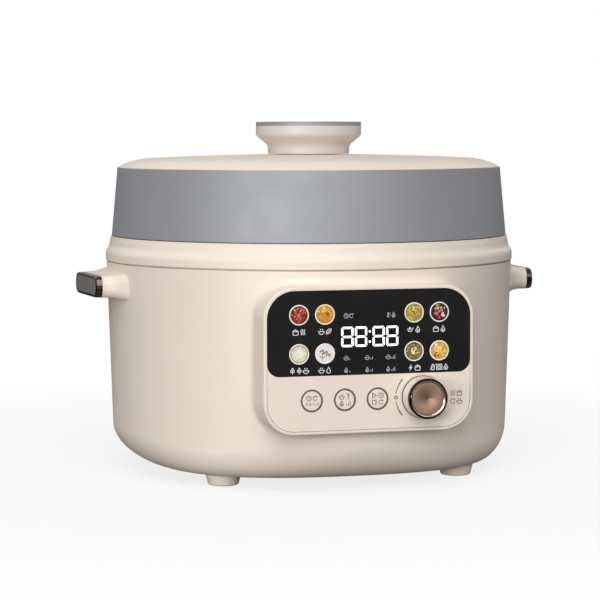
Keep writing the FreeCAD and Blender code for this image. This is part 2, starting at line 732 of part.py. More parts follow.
# ---------------------------------------------------------------- pot
def inner_pot():
    r, t, z, c = POT_R, POT_T, POT_BOTTOM_Z, POT_CORNER_R
    k = sqrt(0.5)
    return lathe([
        (0, z), (r - c, z), (r, z + c, r - c + c * k, z + c - c * k),
        (r, POT_RIM_Z - 1.8), (POT_FLANGE_R - 0.9, POT_RIM_Z - 1.8),
        (POT_FLANGE_R - 0.9, POT_RIM_Z, POT_FLANGE_R, POT_RIM_Z - 0.9),
        (r, POT_RIM_Z), (r - t, POT_RIM_Z - 2.0, r - t + 0.6, POT_RIM_Z - 0.6),
        (r - t, z + c), (r - c, z + t, r - c + (c - t) * k, z + c - (c - t) * k), (0, z + t),
    ])


# ---------------------------------------------------------------- lid
def dome_shell():
    """Dished sheet of the lid's top, without its holes and posts."""
    t = COVER_T
    return lathe([
        (0, dome_z(0)), (CROWN_EDGE, dome_z(CROWN_EDGE), 60.0, dome_z(60.0)),
        (DOME_EDGE, dome_z(DOME_EDGE), 130.0, dome_z(130.0)),
        (DOME_EDGE, BAND_TOP_Z + 0.1), (138.8, BAND_TOP_Z + 0.1), (138.8, 215.5), (136.6, 215.5),
        (136.6, 219.6), (CROWN_EDGE - 1, dome_z(CROWN_EDGE) - t, 128.0, dome_z(128.0) - t - 0.1),
        (0, dome_z(0) - t, 60.0, dome_z(60.0) - t),
    ])


def lid_top_cover():
    cover = dome_shell()
    cover = cover.fuse(tube(0, 14.0, 220.0, dome_z(14.0) - 1))
    cover = cover.cut(tube(0, BUSH_R, 200, 240))
    for k in range(4):
        x, y = on_circle(POST_AT, 90 * k)
        post = tube(0, 4.5, CHASSIS_Z + CHASSIS_T, dome_z(POST_AT) - 1.2, x, y)
        cover = cover.fuse(post).cut(tube(0, 1.5, 150, 175, x, y))
    cover = cover.cut(tube(0, VENT_GRILLE_R, 200, 240, 0, VENT_Y))
    cover = cover.cut(tube(0, 3.2, 200, 240, *FLOAT_AT))
    return cover


def vent_grille():
    """Slotted disc let flush into the top cover."""
    disc = dome_shell().common(tube(0, VENT_GRILLE_R - 0.3, 200, 240, 0, VENT_Y))
    for row in range(-2, 3):
        half = sqrt(10.5 ** 2 - (row * 4.2) ** 2)
        y = VENT_Y + row * 4.2
        disc = disc.cut(block((-half, half), (y - 0.9, y + 0.9), (200, 240)))
    return disc


def lid_band():
    return lathe([
        (DOME_EDGE + 0.05, BAND_TOP_Z), (BAND_FOOT_R, BAND_FOOT_Z),
        (BAND_FOOT_R - BAND_T, BAND_FOOT_Z), (DOME_EDGE + 0.05 - BAND_T, BAND_TOP_Z),
    ])


def lid_chassis():
    """Tray that closes the lid from below and carries the latches."""
    r, z, t = CHASSIS_R, CHASSIS_Z, CHASSIS_T
    flange_z = BAND_FOOT_Z + 0.6
    tray = lathe([
        (0, z), (r - 1.5, z), (r, z + 1.5, r - 0.45, z + 0.45), (r, flange_z),
        (BAND_FOOT_R - BAND_T - 0.3, flange_z), (BAND_FOOT_R - BAND_T - 0.45, flange_z + 2),
        (r - t, flange_z + 2), (r - t, z + t), (0, z + t),
    ])
    tray = tray.fuse(tube(0, 5.3, 149.0, z + 1)).fuse(tube(0, 7.0, 147.6, 149.9))
    hub = tube(SHAFT_R + RUNNING, 11.0, z + 1.2, z + t + 4)
    tray = tray.cut(tube(0, SHAFT_R + RUNNING, z + 1.2, z + t + 4)).fuse(hub)
    gate = block((120, 145), (-LATCH_W / 2 - 0.5, LATCH_W / 2 + 0.5), (z + t, LATCH_Z + LATCH_T + 0.5))
    for angle in LATCH_ANGLES:
        tray = tray.cut(turned(gate, angle))
    for k in range(4):
        tray = tray.cut(tube(0, 1.8, 150, 160, *on_circle(POST_AT, 90 * k)))
    tray = tray.cut(tube(0, 3.9, 150, 160, 0, VENT_Y))
    tray = tray.fuse(tube(10.0, 11.5, z + t, 223.8, 0, VENT_Y))
    return tray.cut(tube(0, 2.6, 150, 160, *FLOAT_AT))


def lid_inner_plate():
    """Dished steel plate that faces the food."""
    t = 1.2
    plate = lathe([
        (5.6, 150.0), (116, 150.0), (118, 150.5, 117.1, 150.1), (125.5, 154.0), (131.0, 154.0),
        (131.0, 154.0 + t), (125.0, 154.0 + t), (117.4, 150.0 + t + 0.3), (116, 150.0 + t), (5.6, 150.0 + t),
    ])
    plate = plate.cut(tube(0, 5.0, 140, 160, 0, VENT_Y))
    return plate.cut(tube(0, 2.6, 140, 160, *FLOAT_AT))


def lid_seal_ring():
    return lathe([
        (131.1, 155.9), (136.6, 155.9), (136.6, 154.2), (135.4, 153.35), (130.2, 153.35),
        (129.4, 153.9), (131.1, 153.9),
    ])


def lid_screws():
    return [screw(*on_circle(POST_AT, 90 * k), CHASSIS_Z - 1.8, 3.2, 1.45, 12.0) for k in range(4)]


def vent_nozzle():
    nozzle = tube(1.6, 3.9, 151.4, 168.0, 0, VENT_Y)
    return nozzle.fuse(tube(1.6, 8.0, CHASSIS_Z + CHASSIS_T, CHASSIS_Z + CHASSIS_T + 2.0, 0, VENT_Y))


def pressure_weight():
    weight = tube(0, 8.0, 168.2, 184.0, 0, VENT_Y)
    skirt = tube(4.3, 8.0, 162.5, 168.2, 0, VENT_Y)
    return weight.fuse(skirt)


def float_valve_pin():
    x, y = FLOAT_AT
    stem = tube(0, 2.0, 147.0, 226.5, x, y)
    return stem.fuse(tube(0, 4.5, 146.2, 147.8, x, y)).fuse(tube(0, 2.8, 224.0, 226.5, x, y))


def knob_bush():
    bush = tube(SHAFT_R + RUNNING, BUSH_R - 0.1, 218.0, 229.2)
    return bush.fuse(tube(SHAFT_R + RUNNING, 13.0, 216.5, 219.5))


# ---------------------------------------------------------------- knob, cam, latches
def lid_knob():
    """Mushroom grip with a hollow underside."""
    return lathe([
        (SHAFT_R, 232.0), (13.0, 232.0), (13.0, 245.2), (26.5, 245.2), (26.5, KNOB_FOOT_Z),
        (KNOB_NECK_R, KNOB_FOOT_Z), (KNOB_NECK_R, 233.4), (32.0, 237.6, 30.55, 235.9),
        (37.0, 241.75), (KNOB_R, 244.5, 38.3, 243.05), (KNOB_R, KNOB_CAP_Z), (34.0, KNOB_CAP_Z),
        (34.0, 248.6), (SHAFT_R, 248.6),
    ])


def lid_knob_cap():
    return lathe([
        (0, 248.6), (33.9, 248.6), (33.9, KNOB_CAP_Z), (KNOB_R, KNOB_CAP_Z),
        (KNOB_R, KNOB_TOP_Z - 0.6), (KNOB_R - 0.6, KNOB_TOP_Z, KNOB_R - 0.18, KNOB_TOP_Z - 0.18),
        (0, KNOB_TOP_Z),
    ])


def lid_knob_shaft():
    return tube(0, SHAFT_R, CHASSIS_Z + 1.6, 248.4)


def cam_slot(angle):
    """Spiral slot: it pushes a pin from LATCH_PIN_AT outwards as the cam turns."""
    steps = 12
    half = LATCH_PIN_R + 0.15
    inner, outer = [], []
    for k in range(steps + 1):
        share = k / steps
        r = LATCH_PIN_AT + LATCH_TRAVEL * share
        a = radians(angle - KNOB_TURN * share)
        heading = a + atan2(-radians(KNOB_TURN) * r, LATCH_TRAVEL)
        side = Vector(-sin(heading), cos(heading), 0) * half
        centre = Vector(r * cos(a), r * sin(a), CAM_Z - 1)
        inner.append(centre + side)
        outer.append(centre - side)
    rails = []
    for points in (inner, outer[::-1]):
        rail = Part.BSplineCurve()
        rail.interpolate(points)
        rails.append(rail.toShape())
    ends = [Part.LineSegment(inner[-1], outer[-1]).toShape(), Part.LineSegment(outer[0], inner[0]).toShape()]
    slot = Part.Face(Part.Wire([rails[0], ends[0], rails[1], ends[1]])).extrude(UP * (CAM_T + 2))
    for share in (0, 1):
        x, y = on_circle(LATCH_PIN_AT + LATCH_TRAVEL * share, angle - KNOB_TURN * share)
        slot = slot.fuse(tube(0, half, CAM_Z - 1, CAM_Z + CAM_T + 1, x, y))
    return slot


def cam_disc():
    cam = tube(SHAFT_R, CAM_R, CAM_Z, CAM_Z + CAM_T).fuse(tube(SHAFT_R, 12.0, CAM_Z, CAM_Z + 9))
    for angle in LATCH_ANGLES:
        cam = cam.cut(cam_slot(angle))
    return cam


def latch():
    """Flat bolt on the +X axis with its cam pin."""
    bolt = block((LATCH_PIN_AT - 8, LATCH_TIP_R - 20), (-8, 8), (LATCH_Z, LATCH_Z + LATCH_T))
    head = block((LATCH_TIP_R - 24, LATCH_TIP_R), (-LATCH_W / 2, LATCH_W / 2), (LATCH_Z, LATCH_Z + LATCH_T))
    nose = [e for e in head.Edges if abs(e.CenterOfMass.x - LATCH_TIP_R) < 0.01]
    head = head.makeChamfer(0.8, nose)
    pin = tube(0, LATCH_PIN_R, LATCH_Z + 1, CAM_Z + CAM_T + 0.8, LATCH_PIN_AT)
    return bolt.fuse(head).fuse(pin)


def latch_guide():
    """Bridge that holds a latch down on the chassis."""
    z = CHASSIS_Z + CHASSIS_T
    bridge = block((84, 94), (-13, 13), (z, LATCH_Z + LATCH_T + 3.0))
    return bridge.cut(block((80, 100), (-8.4, 8.4), (z - 1, LATCH_Z + LATCH_T + 0.4)))


# ---------------------------------------------------------------- write every node
def write_base():
    outside = housing_with_pod()
    save("housing_shell", housing_shell(outside))
    save("housing_top_ring", housing_top_ring())
    save("lock_ring", lock_ring())
    save("inner_liner", inner_liner())
    save("base_cover", base_cover())
    save("feet", *[turned(foot(), angle) for angle in FOOT_ANGLES])
    save("foot_pads", *[turned(foot_pad(), angle) for angle in FOOT_ANGLES])
    for name, piece in (("handle", handle()), ("handle_trim", handle_trim()),
                        ("handle_end_plate", handle_end_plate())):
        outer_piece = piece.cut(outside)
        save(name + "_right", outer_piece)
        save(name + "_left", mirrored(outer_piece))
    save("housing_screws", *cover_screws(), *handle_screws())
    save("inlet_housing", inlet_housing(outside))
    save("inlet_pins", *inlet_pins())


def write_panel():
    save("panel_fascia", panel_fascia())
    save("display_window", display_window())
    save("display_board", display_board())
    save("light_shade", light_shade())
    save("tact_switches", *[tact_switch(x) for x in BUTTON_X])
    save("button_rings", *[button_ring(x) for x in BUTTON_X])
    for name, x in zip(("button_left", "button_middle", "button_right"), BUTTON_X):
        save(name, button_cap(x))
    save("dial_encoder", dial_encoder())
    save("dial_skirt", dial_skirt())
    save("dial_rim", dial_rim())
    save("dial_face", dial_face())
    save("dial_shaft", dial_shaft())


def write_inside():
    save("heating_plate", heating_plate())
    save("heating_element", heating_element())
    save("sensor_guide", sensor_guide())
    save("sensor_cap", sensor_cap())
    save("sensor_spring", sensor_spring())
    save("thermal_fuse", thermal_fuse())
    save("power_board", power_board())
    save("power_transformer", power_transformer())
    save("filter_capacitors", *filter_capacitors())
    save("inner_pot", inner_pot())


def write_lid():
    save("lid_top_cover", lid_top_cover())
    save("vent_grille", vent_grille())
    save("lid_band", lid_band())
    save("lid_chassis", lid_chassis())
    save("lid_inner_plate", lid_inner_plate())
    save("lid_seal_ring", lid_seal_ring())
    save("lid_screws", *lid_screws())
    save("vent_nozzle", vent_nozzle())
    save("pressure_weight", pressure_weight())
    save("float_valve_pin", float_valve_pin())
    save("knob_bush", knob_bush())
    save("lid_knob", lid_knob())
    save("lid_knob_cap", lid_knob_cap())
    save("lid_knob_shaft", lid_knob_shaft())
    save("cam_disc", cam_disc())
    for k, angle in enumerate(LATCH_ANGLES):
        save("latch_%d" % (k + 1), turned(latch(), angle))
    save("latch_guides", *[turned(latch_guide(), angle) for angle in LATCH_ANGLES])


os.makedirs("parts", exist_ok=True)
write_base()
write_panel()
write_inside()
write_lid()
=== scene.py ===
import json
import random
from math import cos, pi, radians, sin, sqrt

import bmesh
import bpy
from mathutils import Matrix, Vector

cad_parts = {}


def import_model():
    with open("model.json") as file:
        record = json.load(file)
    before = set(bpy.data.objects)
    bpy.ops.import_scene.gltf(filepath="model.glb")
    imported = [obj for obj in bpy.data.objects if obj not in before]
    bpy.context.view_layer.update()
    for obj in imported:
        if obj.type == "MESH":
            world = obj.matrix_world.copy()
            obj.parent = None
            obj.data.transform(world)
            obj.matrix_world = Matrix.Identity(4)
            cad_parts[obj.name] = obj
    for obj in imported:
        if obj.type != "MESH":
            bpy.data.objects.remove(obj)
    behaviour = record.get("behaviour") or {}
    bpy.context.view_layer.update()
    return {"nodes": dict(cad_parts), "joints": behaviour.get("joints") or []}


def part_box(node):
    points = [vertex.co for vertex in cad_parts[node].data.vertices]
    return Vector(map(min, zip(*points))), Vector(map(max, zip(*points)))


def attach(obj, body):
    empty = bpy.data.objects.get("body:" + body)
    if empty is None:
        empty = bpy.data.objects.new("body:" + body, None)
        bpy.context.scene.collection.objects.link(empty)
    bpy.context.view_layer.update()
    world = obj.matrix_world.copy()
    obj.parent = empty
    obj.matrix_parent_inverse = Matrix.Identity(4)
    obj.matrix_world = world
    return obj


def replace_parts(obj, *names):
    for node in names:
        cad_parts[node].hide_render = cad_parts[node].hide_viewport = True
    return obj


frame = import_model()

NODES = frame["nodes"]
MM = 0.001


# ---------------------------------------------------------------- places taken from the frame
def middle(node):
    """Middle of a node's box."""
    lo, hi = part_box(node)
    return (Vector(lo) + Vector(hi)) / 2


def joint(name):
    """The frame's entry for a joint."""
    return next(j for j in frame["joints"] if j["name"] == name)


FACE_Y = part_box("display_window")[0][1]     # front plane of the window and the fascia
DIAL_AXIS = Vector(joint("dial_turn")["pos_m"])
DIAL_AXIS.y = 0
RIM_LO, RIM_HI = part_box("dial_rim")
RIM_R = (RIM_HI[0] - RIM_LO[0]) / 2

# graphics on the panel, in metres from its centre line and from the floor
DISH_X = (-49.4 * MM, -31.4 * MM, 31.4 * MM, 49.4 * MM)
DISH_Z = (123.6 * MM, 97.3 * MM)
DISH_R = 6.9 * MM
LABEL_Z = (112.1 * MM, 86.0 * MM)
LABEL_H = 4.5 * MM
LABEL_PITCH = {2: 5.0 * MM, 3: 4.65 * MM}   # by the number of pictograms in the label
LABEL_STROKE = 0.46 * MM
DIGIT_X = (-15.8 * MM, -6.2 * MM, 6.2 * MM, 15.8 * MM)
DIGIT_Z = 108.15 * MM
DIGIT_W = 8.6 * MM
DIGIT_H = 13.7 * MM
BAR_WIDTH = 1.5 * MM
BAR_GAP = 0.42 * MM                         # between neighbouring bars of a digit
BAR_CUT = 0.9 * MM                          # how much of each outer corner is cut away
COLON_Z = (111.5 * MM, 104.6 * MM)
COLON_R = 0.8 * MM
FIELD_HALF = (22.0 * MM, 9.2 * MM)          # half width and height of the digits' field
STATUS_X = 14.8 * MM
STATUS_H = 3.6 * MM
STATUS_PITCH = 3.7 * MM
STATUS_STROKE = 0.34 * MM
STATUS_Z = (122.4 * MM, 93.9 * MM, 85.7 * MM)
PRINT_FRONT = 0.08 * MM                     # how far printed marks stand proud
PRINT_BACK = 0.02 * MM                      # and how far they reach into what they are printed on
THIN_FRONT = 0.03 * MM                      # the pictures' grounds and the gap line stand less proud
MORSEL_STEP = 0.0012 * MM                   # each morsel of a picture lies this far before the last


# ---------------------------------------------------------------- material nodes
class Nodes:
    """Small helper around one material's node tree."""

    def __init__(self, name):
        self.material = bpy.data.materials.new(name)
        self.material.use_nodes = True
        self.tree = self.material.node_tree
        self.shader = self.tree.nodes["Principled BSDF"]
        self.coords = self.add("ShaderNodeTexCoord").outputs["Object"]

    def add(self, kind, **settings):
        node = self.tree.nodes.new(kind)
        for key, value in settings.items():
            if key in node.inputs:
                node.inputs[key].default_value = value
            else:
                setattr(node, key, value)
        return node

    def link(self, a, b):
        self.tree.links.new(a, b)

    def scaled(self, scale):
        """Object coordinates with their own scale along X, Y and Z."""
        mapping = self.add("ShaderNodeMapping")
        mapping.inputs["Scale"].default_value = scale
        self.link(self.coords, mapping.inputs["Vector"])
        return mapping.outputs["Vector"]

    def noise(self, scale, detail=3.0, rough=0.5, vector=None):
        node = self.add("ShaderNodeTexNoise", Scale=scale, Detail=detail, Roughness=rough)
        self.link(vector or self.coords, node.inputs["Vector"])
        return node.outputs["Fac"]

    def spread(self, value, low, high, a=0.3, b=0.7):
        """Values from a to b stretched to run from low to high."""
        node = self.add("ShaderNodeMapRange")
        node.inputs["From Min"].default_value = a
        node.inputs["From Max"].default_value = b
        node.inputs["To Min"].default_value = low
        node.inputs["To Max"].default_value = high
        self.link(value, node.inputs["Value"])
        return node.outputs["Result"]

    def blend(self, fac, one, two):
        """Colour between two fixed ones."""
        node = self.add("ShaderNodeMix", data_type="RGBA")
        for socket, colour in ((node.inputs[6], one), (node.inputs[7], two)):
            socket.default_value = (*colour, 1)
        self.link(fac, node.inputs[0])
        return node.outputs[2]

    def math(self, operation, a, b=0.0):
        node = self.add("ShaderNodeMath", operation=operation)
        for socket, value in ((node.inputs[0], a), (node.inputs[1], b)):
            if isinstance(value, bpy.types.NodeSocket):
                self.link(value, socket)
            else:
                socket.default_value = value
        return node.outputs[0]

    def bump(self, height, depth, strength=1.0):
        node = self.add("ShaderNodeBump", Strength=strength, Distance=depth)
        self.link(height, node.inputs["Height"])
        self.link(node.outputs["Normal"], self.shader.inputs["Normal"])

    def set(self, **values):
        for key, value in values.items():
            name = key.replace("_", " ")
            self.shader.inputs[name].default_value = value


def srgb(r, g, b):
    """Linear colour from the usual 0 to 255 values."""
    def one(c):
        c /= 255
        return c / 12.92 if c <= 0.04045 else ((c + 0.055) / 1.055) ** 2.4
    return one(r), one(g), one(b)


def scale_colour(colour, k):
    return tuple(min(1.0, c * k) for c in colour)


def moulded(name, colour, rough=0.4, vary=0.03, grain=1400.0, depth=0.00002, cloud=9.0, **values):
    """Moulded plastic: faint cloudiness, a fine spark-eroded grain and uneven gloss."""
    n = Nodes(name)
    cloudy = n.spread(n.noise(cloud, 3), 0, 1)
    n.link(n.blend(cloudy, scale_colour(colour, 1 - vary), scale_colour(colour, 1 + vary)),
           n.shader.inputs["Base Color"])
    n.link(n.spread(n.noise(60.0, 4), rough - 0.04, rough + 0.05), n.shader.inputs["Roughness"])
    n.bump(n.noise(grain, 2), depth)
    n.set(**values)
    return n.material


def metal(name, colour, rough=0.25, streak=(1, 1, 60), vary=0.08, depth=0.000012):
    """Metal with brush marks; streak is how fine the marks are along X, Y and Z."""
    n = Nodes(name)
    marks = n.noise(24.0, 5, 0.65, n.scaled(streak))
    n.link(n.blend(n.spread(marks, 0, 1), scale_colour(colour, 1 - vary), scale_colour(colour, 1 + vary)),
           n.shader.inputs["Base Color"])
    n.link(n.spread(marks, rough - 0.05, rough + 0.07), n.shader.inputs["Roughness"])
    n.bump(marks, depth, 0.6)
    n.set(Metallic=1.0)
    return n.material


def spun(name, colour, centre, axis, rough=0.3, pitch=0.0004, metallic=1.0, highlight_lobes=0.0):
    """Metal turned on a lathe: fine rings about an axis through centre, radial streaks in its colour, and a
    painted highlight of lighter wedges as strong as highlight_lobes.
    """
    n = Nodes(name)
    shifted = n.add("ShaderNodeVectorMath", operation="SUBTRACT")
    shifted.inputs[1].default_value = centre
    n.link(n.coords, shifted.inputs[0])
    split = n.add("ShaderNodeSeparateXYZ")
    n.link(shifted.outputs[0], split.inputs[0])
    names = [s for s in "XYZ" if s != axis]
    u, v = split.outputs[names[0]], split.outputs[names[1]]
    radius = n.math("SQRT", n.math("ADD", n.math("MULTIPLY", u, u), n.math("MULTIPLY", v, v)))
    rings = n.math("SINE", n.math("MULTIPLY", radius, 2 * pi / pitch))
    uneven = n.noise(0.06 / pitch, 3, 0.6)
    height = n.math("ADD", n.math("MULTIPLY", rings, 0.5), uneven)
    n.bump(height, pitch * 0.05, 0.5)
    # painted highlight: the colour turns lighter and darker in wedges round the axis, twice per turn,
    # standing in for the face's reflections
    angle = n.math("ARCTAN2", v, u)
    painted_highlight = n.math("ADD", n.math("MULTIPLY", n.math("SINE", n.math("MULTIPLY", angle, 2.0)), 0.5), 0.5)
    fine = n.add("ShaderNodeTexNoise", Scale=5.0, Detail=4.0)
    fine.noise_dimensions = "1D"
    n.link(n.math("MULTIPLY", angle, 3.0), fine.inputs["W"])
    streaks_and_highlight = n.math("ADD", n.math("MULTIPLY", painted_highlight, highlight_lobes), n.math("MULTIPLY", fine.outputs["Fac"], 0.2))
    shade = n.spread(streaks_and_highlight, 0, 1, 0.1, 0.4 + highlight_lobes)
    n.link(n.blend(shade, scale_colour(colour, 0.86), scale_colour(colour, 1.14)),
           n.shader.inputs["Base Color"])
    n.link(n.spread(fine.outputs["Fac"], rough - 0.05, rough + 0.05), n.shader.inputs["Roughness"])
    n.set(Metallic=metallic)
    return n.material


def lit(name, colour, strength):
    """Lit graphics: an even glow with the slight grain of a diffuser."""
    n = Nodes(name)
    grain = n.spread(n.noise(900.0, 2), 0, 1)
    shade = n.blend(grain, scale_colour(colour, 0.96), colour)
    n.link(shade, n.shader.inputs["Base Color"])
    n.link(shade, n.shader.inputs["Emission Color"])
    n.set(Emission_Strength=strength, Roughness=0.5)
    return n.material


CREAM = srgb(240, 226, 212)
GREY = srgb(160, 161, 166)

# moulded: colour, roughness, colour variation, grain size and depth, cloud size.
# metal: colour, roughness, brush marks along X, Y and Z, colour variation, depth.
MATERIALS = {
    "cream": moulded("cream_satin", CREAM, 0.42, 0.012, 1500.0, 0.000012),
    # the knob's cream is a darker, greyer copy of the body's cream: painted shade standing in for less warm
    # bounce light between lid top and knob
    "cream_knob_painted_shade": moulded("cream_knob_painted_shade", srgb(208, 200, 193), 0.38, 0.012, 1500.0, 0.000012),
    "cream_key": moulded("cream_key", CREAM, 0.38, 0.012, 1800.0, 0.00001),
    "grey": moulded("grey_band_paint", GREY, 0.56, 0.02, 2600.0, 0.00001, 14.0, Metallic=0.35),
    "knob_grey": moulded("knob_cap_grey", srgb(152, 154, 158), 0.52, 0.02, 2600.0, 0.00001, 20.0,
                         Metallic=0.3),
    "end_grey": moulded("handle_end_grey", srgb(124, 118, 114), 0.5, 0.05, 2400.0, 0.00003, 60.0),
    "black_glass": moulded("window_black", srgb(33, 33, 33), 0.16, 0.05, 300.0, 0.000004, 30.0, IOR=1.45),
    "key_ring": moulded("key_ring", srgb(112, 102, 93), 0.4, 0.05, 2600.0, 0.00001, 90.0),
    "dark_chrome": metal("smoked_chrome", srgb(112, 96, 90), 0.13, (60, 2, 2), 0.05),
    "black_chrome": metal("black_chrome", srgb(34, 30, 29), 0.2, (60, 2, 2), 0.05),
    "chrome": metal("bright_chrome", srgb(200, 184, 176), 0.2, (40, 2, 40), 0.04),
    "steel": metal("brushed_steel", srgb(190, 190, 190), 0.28, (40, 40, 2), 0.08),
    "sheet": metal("zinc_sheet", srgb(176, 178, 180), 0.38, (20, 20, 40), 0.12),
    "cast": metal("cast_aluminium", srgb(198, 198, 200), 0.42, (30, 30, 30), 0.1, 0.00004),
    "sheath": metal("heater_sheath", srgb(110, 100, 94), 0.45, (60, 60, 10), 0.2),
    "screw": metal("screw_zinc", srgb(168, 168, 170), 0.35, (80, 80, 80), 0.1),
    "brass": metal("blade_brass", srgb(206, 178, 118), 0.25, (10, 60, 10), 0.06),
    "rubber": moulded("grey_rubber", srgb(78, 77, 76), 0.75, 0.08, 1200.0, 0.00006, 60.0),
    "silicone": moulded("white_silicone", srgb(226, 226, 222), 0.5, 0.03, 900.0, 0.00002, 30.0),
    "black": moulded("black_plastic", srgb(38, 38, 38), 0.48, 0.1, 1300.0, 0.00004, 40.0),
    "white": moulded("white_plastic", srgb(222, 220, 214), 0.5, 0.03, 1200.0, 0.00003, 20.0),
    "board": moulded("solder_mask", srgb(38, 92, 58), 0.35, 0.2, 600.0, 0.00004, 120.0),
    "red": moulded("red_plastic", srgb(170, 44, 34), 0.4, 0.05, 1500.0, 0.00002, 60.0),
    "field": moulded("display_field", srgb(33, 29, 28), 0.15, 0.06, 900.0, 0.000003, 80.0),
    # one colour for the panel's print and for the painted shadow line along the fascia's gap
    "mark": moulded("panel_print_and_gap_shadow", srgb(92, 82, 74), 0.55, 0.04, 3000.0, 0.000006, 200.0),
    "dot": moulded("dial_print", srgb(52, 45, 40), 0.55, 0.04, 3000.0, 0.000006, 200.0),
    "label": lit("window_print", srgb(214, 216, 216), 0.2),
    "dim_label": lit("window_print_dim", srgb(190, 192, 192), 0.15),
    "digit": lit("digit_light", (1.0, 1.0, 1.0), 0.8),
}


def spun_finishes():
    """Turned surfaces, each about its own axis."""
    dial = tuple(DIAL_AXIS)
    # the dial's face gets a strong painted highlight of lighter wedges (last value); the other turned
    # finishes get none
    MATERIALS["bronze"] = spun("spun_bronze", srgb(172, 139, 117), dial, "Y", 0.46, 0.0003, 0.5, 0.9)
    MATERIALS["pot_out"] = spun("pot_outside", srgb(120, 122, 126), (0, 0, 0), "Z", 0.4, 0.0016, 0.6)
    MATERIALS["plate_spun"] = spun("lid_plate_spun", srgb(188, 188, 190), (0, 0, 0), "Z", 0.27, 0.0012)
    MATERIALS["heater_spun"] = spun("heater_turned", srgb(196, 196, 198), (0, 0, 0), "Z", 0.34, 0.002)


spun_finishes()

FINISH_OF_NODE = {
    "cream": "housing_shell housing_top_ring base_cover feet handle_left handle_right panel_fascia "
             "dial_skirt lid_top_cover vent_grille",
    "cream_knob_painted_shade": "lid_knob",
    "cream_key": "button_left button_middle button_right",
    "grey": "lid_band",
    "knob_grey": "lid_knob_cap",
    "dark_chrome": "handle_trim_left handle_trim_right dial_rim",
    "end_grey": "handle_end_plate_left handle_end_plate_right",
    "bronze": "dial_face",
    "black_glass": "display_window",
    "key_ring": "button_rings",
    "steel": "lock_ring sensor_guide vent_nozzle lid_knob_shaft cam_disc latch_1 latch_2 latch_3 latch_4 "
             "dial_shaft",
    "plate_spun": "lid_inner_plate",
    "sheet": "inner_liner power_transformer",
    "cast": "sensor_cap",
    "heater_spun": "heating_plate",
    "sheath": "heating_element",
    "screw": "housing_screws lid_screws sensor_spring",
    "brass": "inlet_pins",
    "pot_out": "inner_pot",
    "rubber": "foot_pads",
    "silicone": "lid_seal_ring",
    "black": "inlet_housing tact_switches dial_encoder filter_capacitors pressure_weight",
    "white": "light_shade thermal_fuse lid_chassis knob_bush latch_guides",
    "board": "display_board power_board",
    "red": "float_valve_pin",
}


def paint_nodes():
    """Give the CAD nodes their finishes."""
    for finish, names in FINISH_OF_NODE.items():
        for name in names.split():
            materials = NODES[name].data.materials
            materials.clear()
            materials.append(MATERIALS[finish])


# ---------------------------------------------------------------- mesh helpers
def piece(name, bm, finish, body, smooth=False):
    """Turn a bmesh into a piece that rides on a body."""
    bmesh.ops.recalc_face_normals(bm, faces=bm.faces)
    mesh = bpy.data.meshes.new(name)
    bm.to_mesh(mesh)
    bm.free()
    obj = bpy.data.objects.new(name, mesh)
    bpy.context.scene.collection.objects.link(obj)
    mesh.materials.append(MATERIALS[finish])
    if smooth:
        mesh.shade_smooth()
    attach(obj, body)
    return obj


def slab(bm, points, y_front, y_back):
    """Closed plate with that outline in the panel's plane; points are (x, z)."""
    front = [bm.verts.new((x, y_front, z)) for x, z in points]
    back = [bm.verts.new((x, y_back, z)) for x, z in points]
    count = len(points)
    bm.faces.new(front)
    bm.faces.new(back[::-1])
    for k in range(count):
        j = (k + 1) % count
        bm.faces.new((front[k], back[k], back[j], front[j]))


def ribbon(bm, points, width, y_front, y_back, closed=False):
    """Closed strip of constant width along a line of (x, z) points, with mitred turns."""
    count = len(points)
    left, right = [], []
    for k in range(count):
        here = Vector(points[k])
        before = Vector(points[k - 1]) if closed or k > 0 else None
        after = Vector(points[(k + 1) % count]) if closed or k < count - 1 else None
        ways = []
        if before is not None:
            ways.append((here - before).normalized())
        if after is not None:
            ways.append((after - here).normalized())
        way = sum(ways, Vector((0, 0)))
        way = way.normalized() if way.length > 1e-6 else ways[0]
        side = Vector((-way.y, way.x))
        stretch = 1 / max(0.5, abs(way.dot(ways[0])))
        left.append(here + side * width / 2 * stretch)
        right.append(here - side * width / 2 * stretch)
    layers = []
    for y in (y_front, y_back):
        layers.append([[bm.verts.new((p.x, y, p.y)) for p in rail] for rail in (left, right)])
    spans = range(count) if closed else range(count - 1)
    (fl, fr), (bl, br) = layers
    for k in spans:
        j = (k + 1) % count
        bm.faces.new((fl[k], fr[k], fr[j], fl[j]))
        bm.faces.new((bl[k], bl[j], br[j], br[k]))
        bm.faces.new((fl[k], fl[j], bl[j], bl[k]))
        bm.faces.new((fr[k], br[k], br[j], fr[j]))
    if not closed:
        for k in (0, count - 1):
            bm.faces.new((fl[k], bl[k], br[k], fr[k]))


def arc(cx, cz, r, start, end, steps=12, rz=None):
    """Points along an arc, angles in degrees from +X; rz makes it elliptical."""
    rz = r if rz is None else rz
    return [(cx + r * cos(radians(start + (end - start) * k / steps)),
             cz + rz * sin(radians(start + (end - start) * k / steps))) for k in range(steps + 1)]


def turned_piece(name, profile, centre, finish, body, steps=96):
    """Solid ring about an axis along Y through centre, from a closed (radius, y) profile."""
    bm = bmesh.new()
    rings = []
    for k in range(steps):
        a = 2 * pi * k / steps
        rings.append([bm.verts.new((centre.x + r * cos(a), y, centre.z + r * sin(a))) for r, y in profile])
    count = len(profile)
    for k in range(steps):
        here, there = rings[k], rings[(k + 1) % steps]
        for j in range(count):
            i = (j + 1) % count
            bm.faces.new((here[j], here[i], there[i], there[j]))
    return piece(name, bm, finish, body, True)


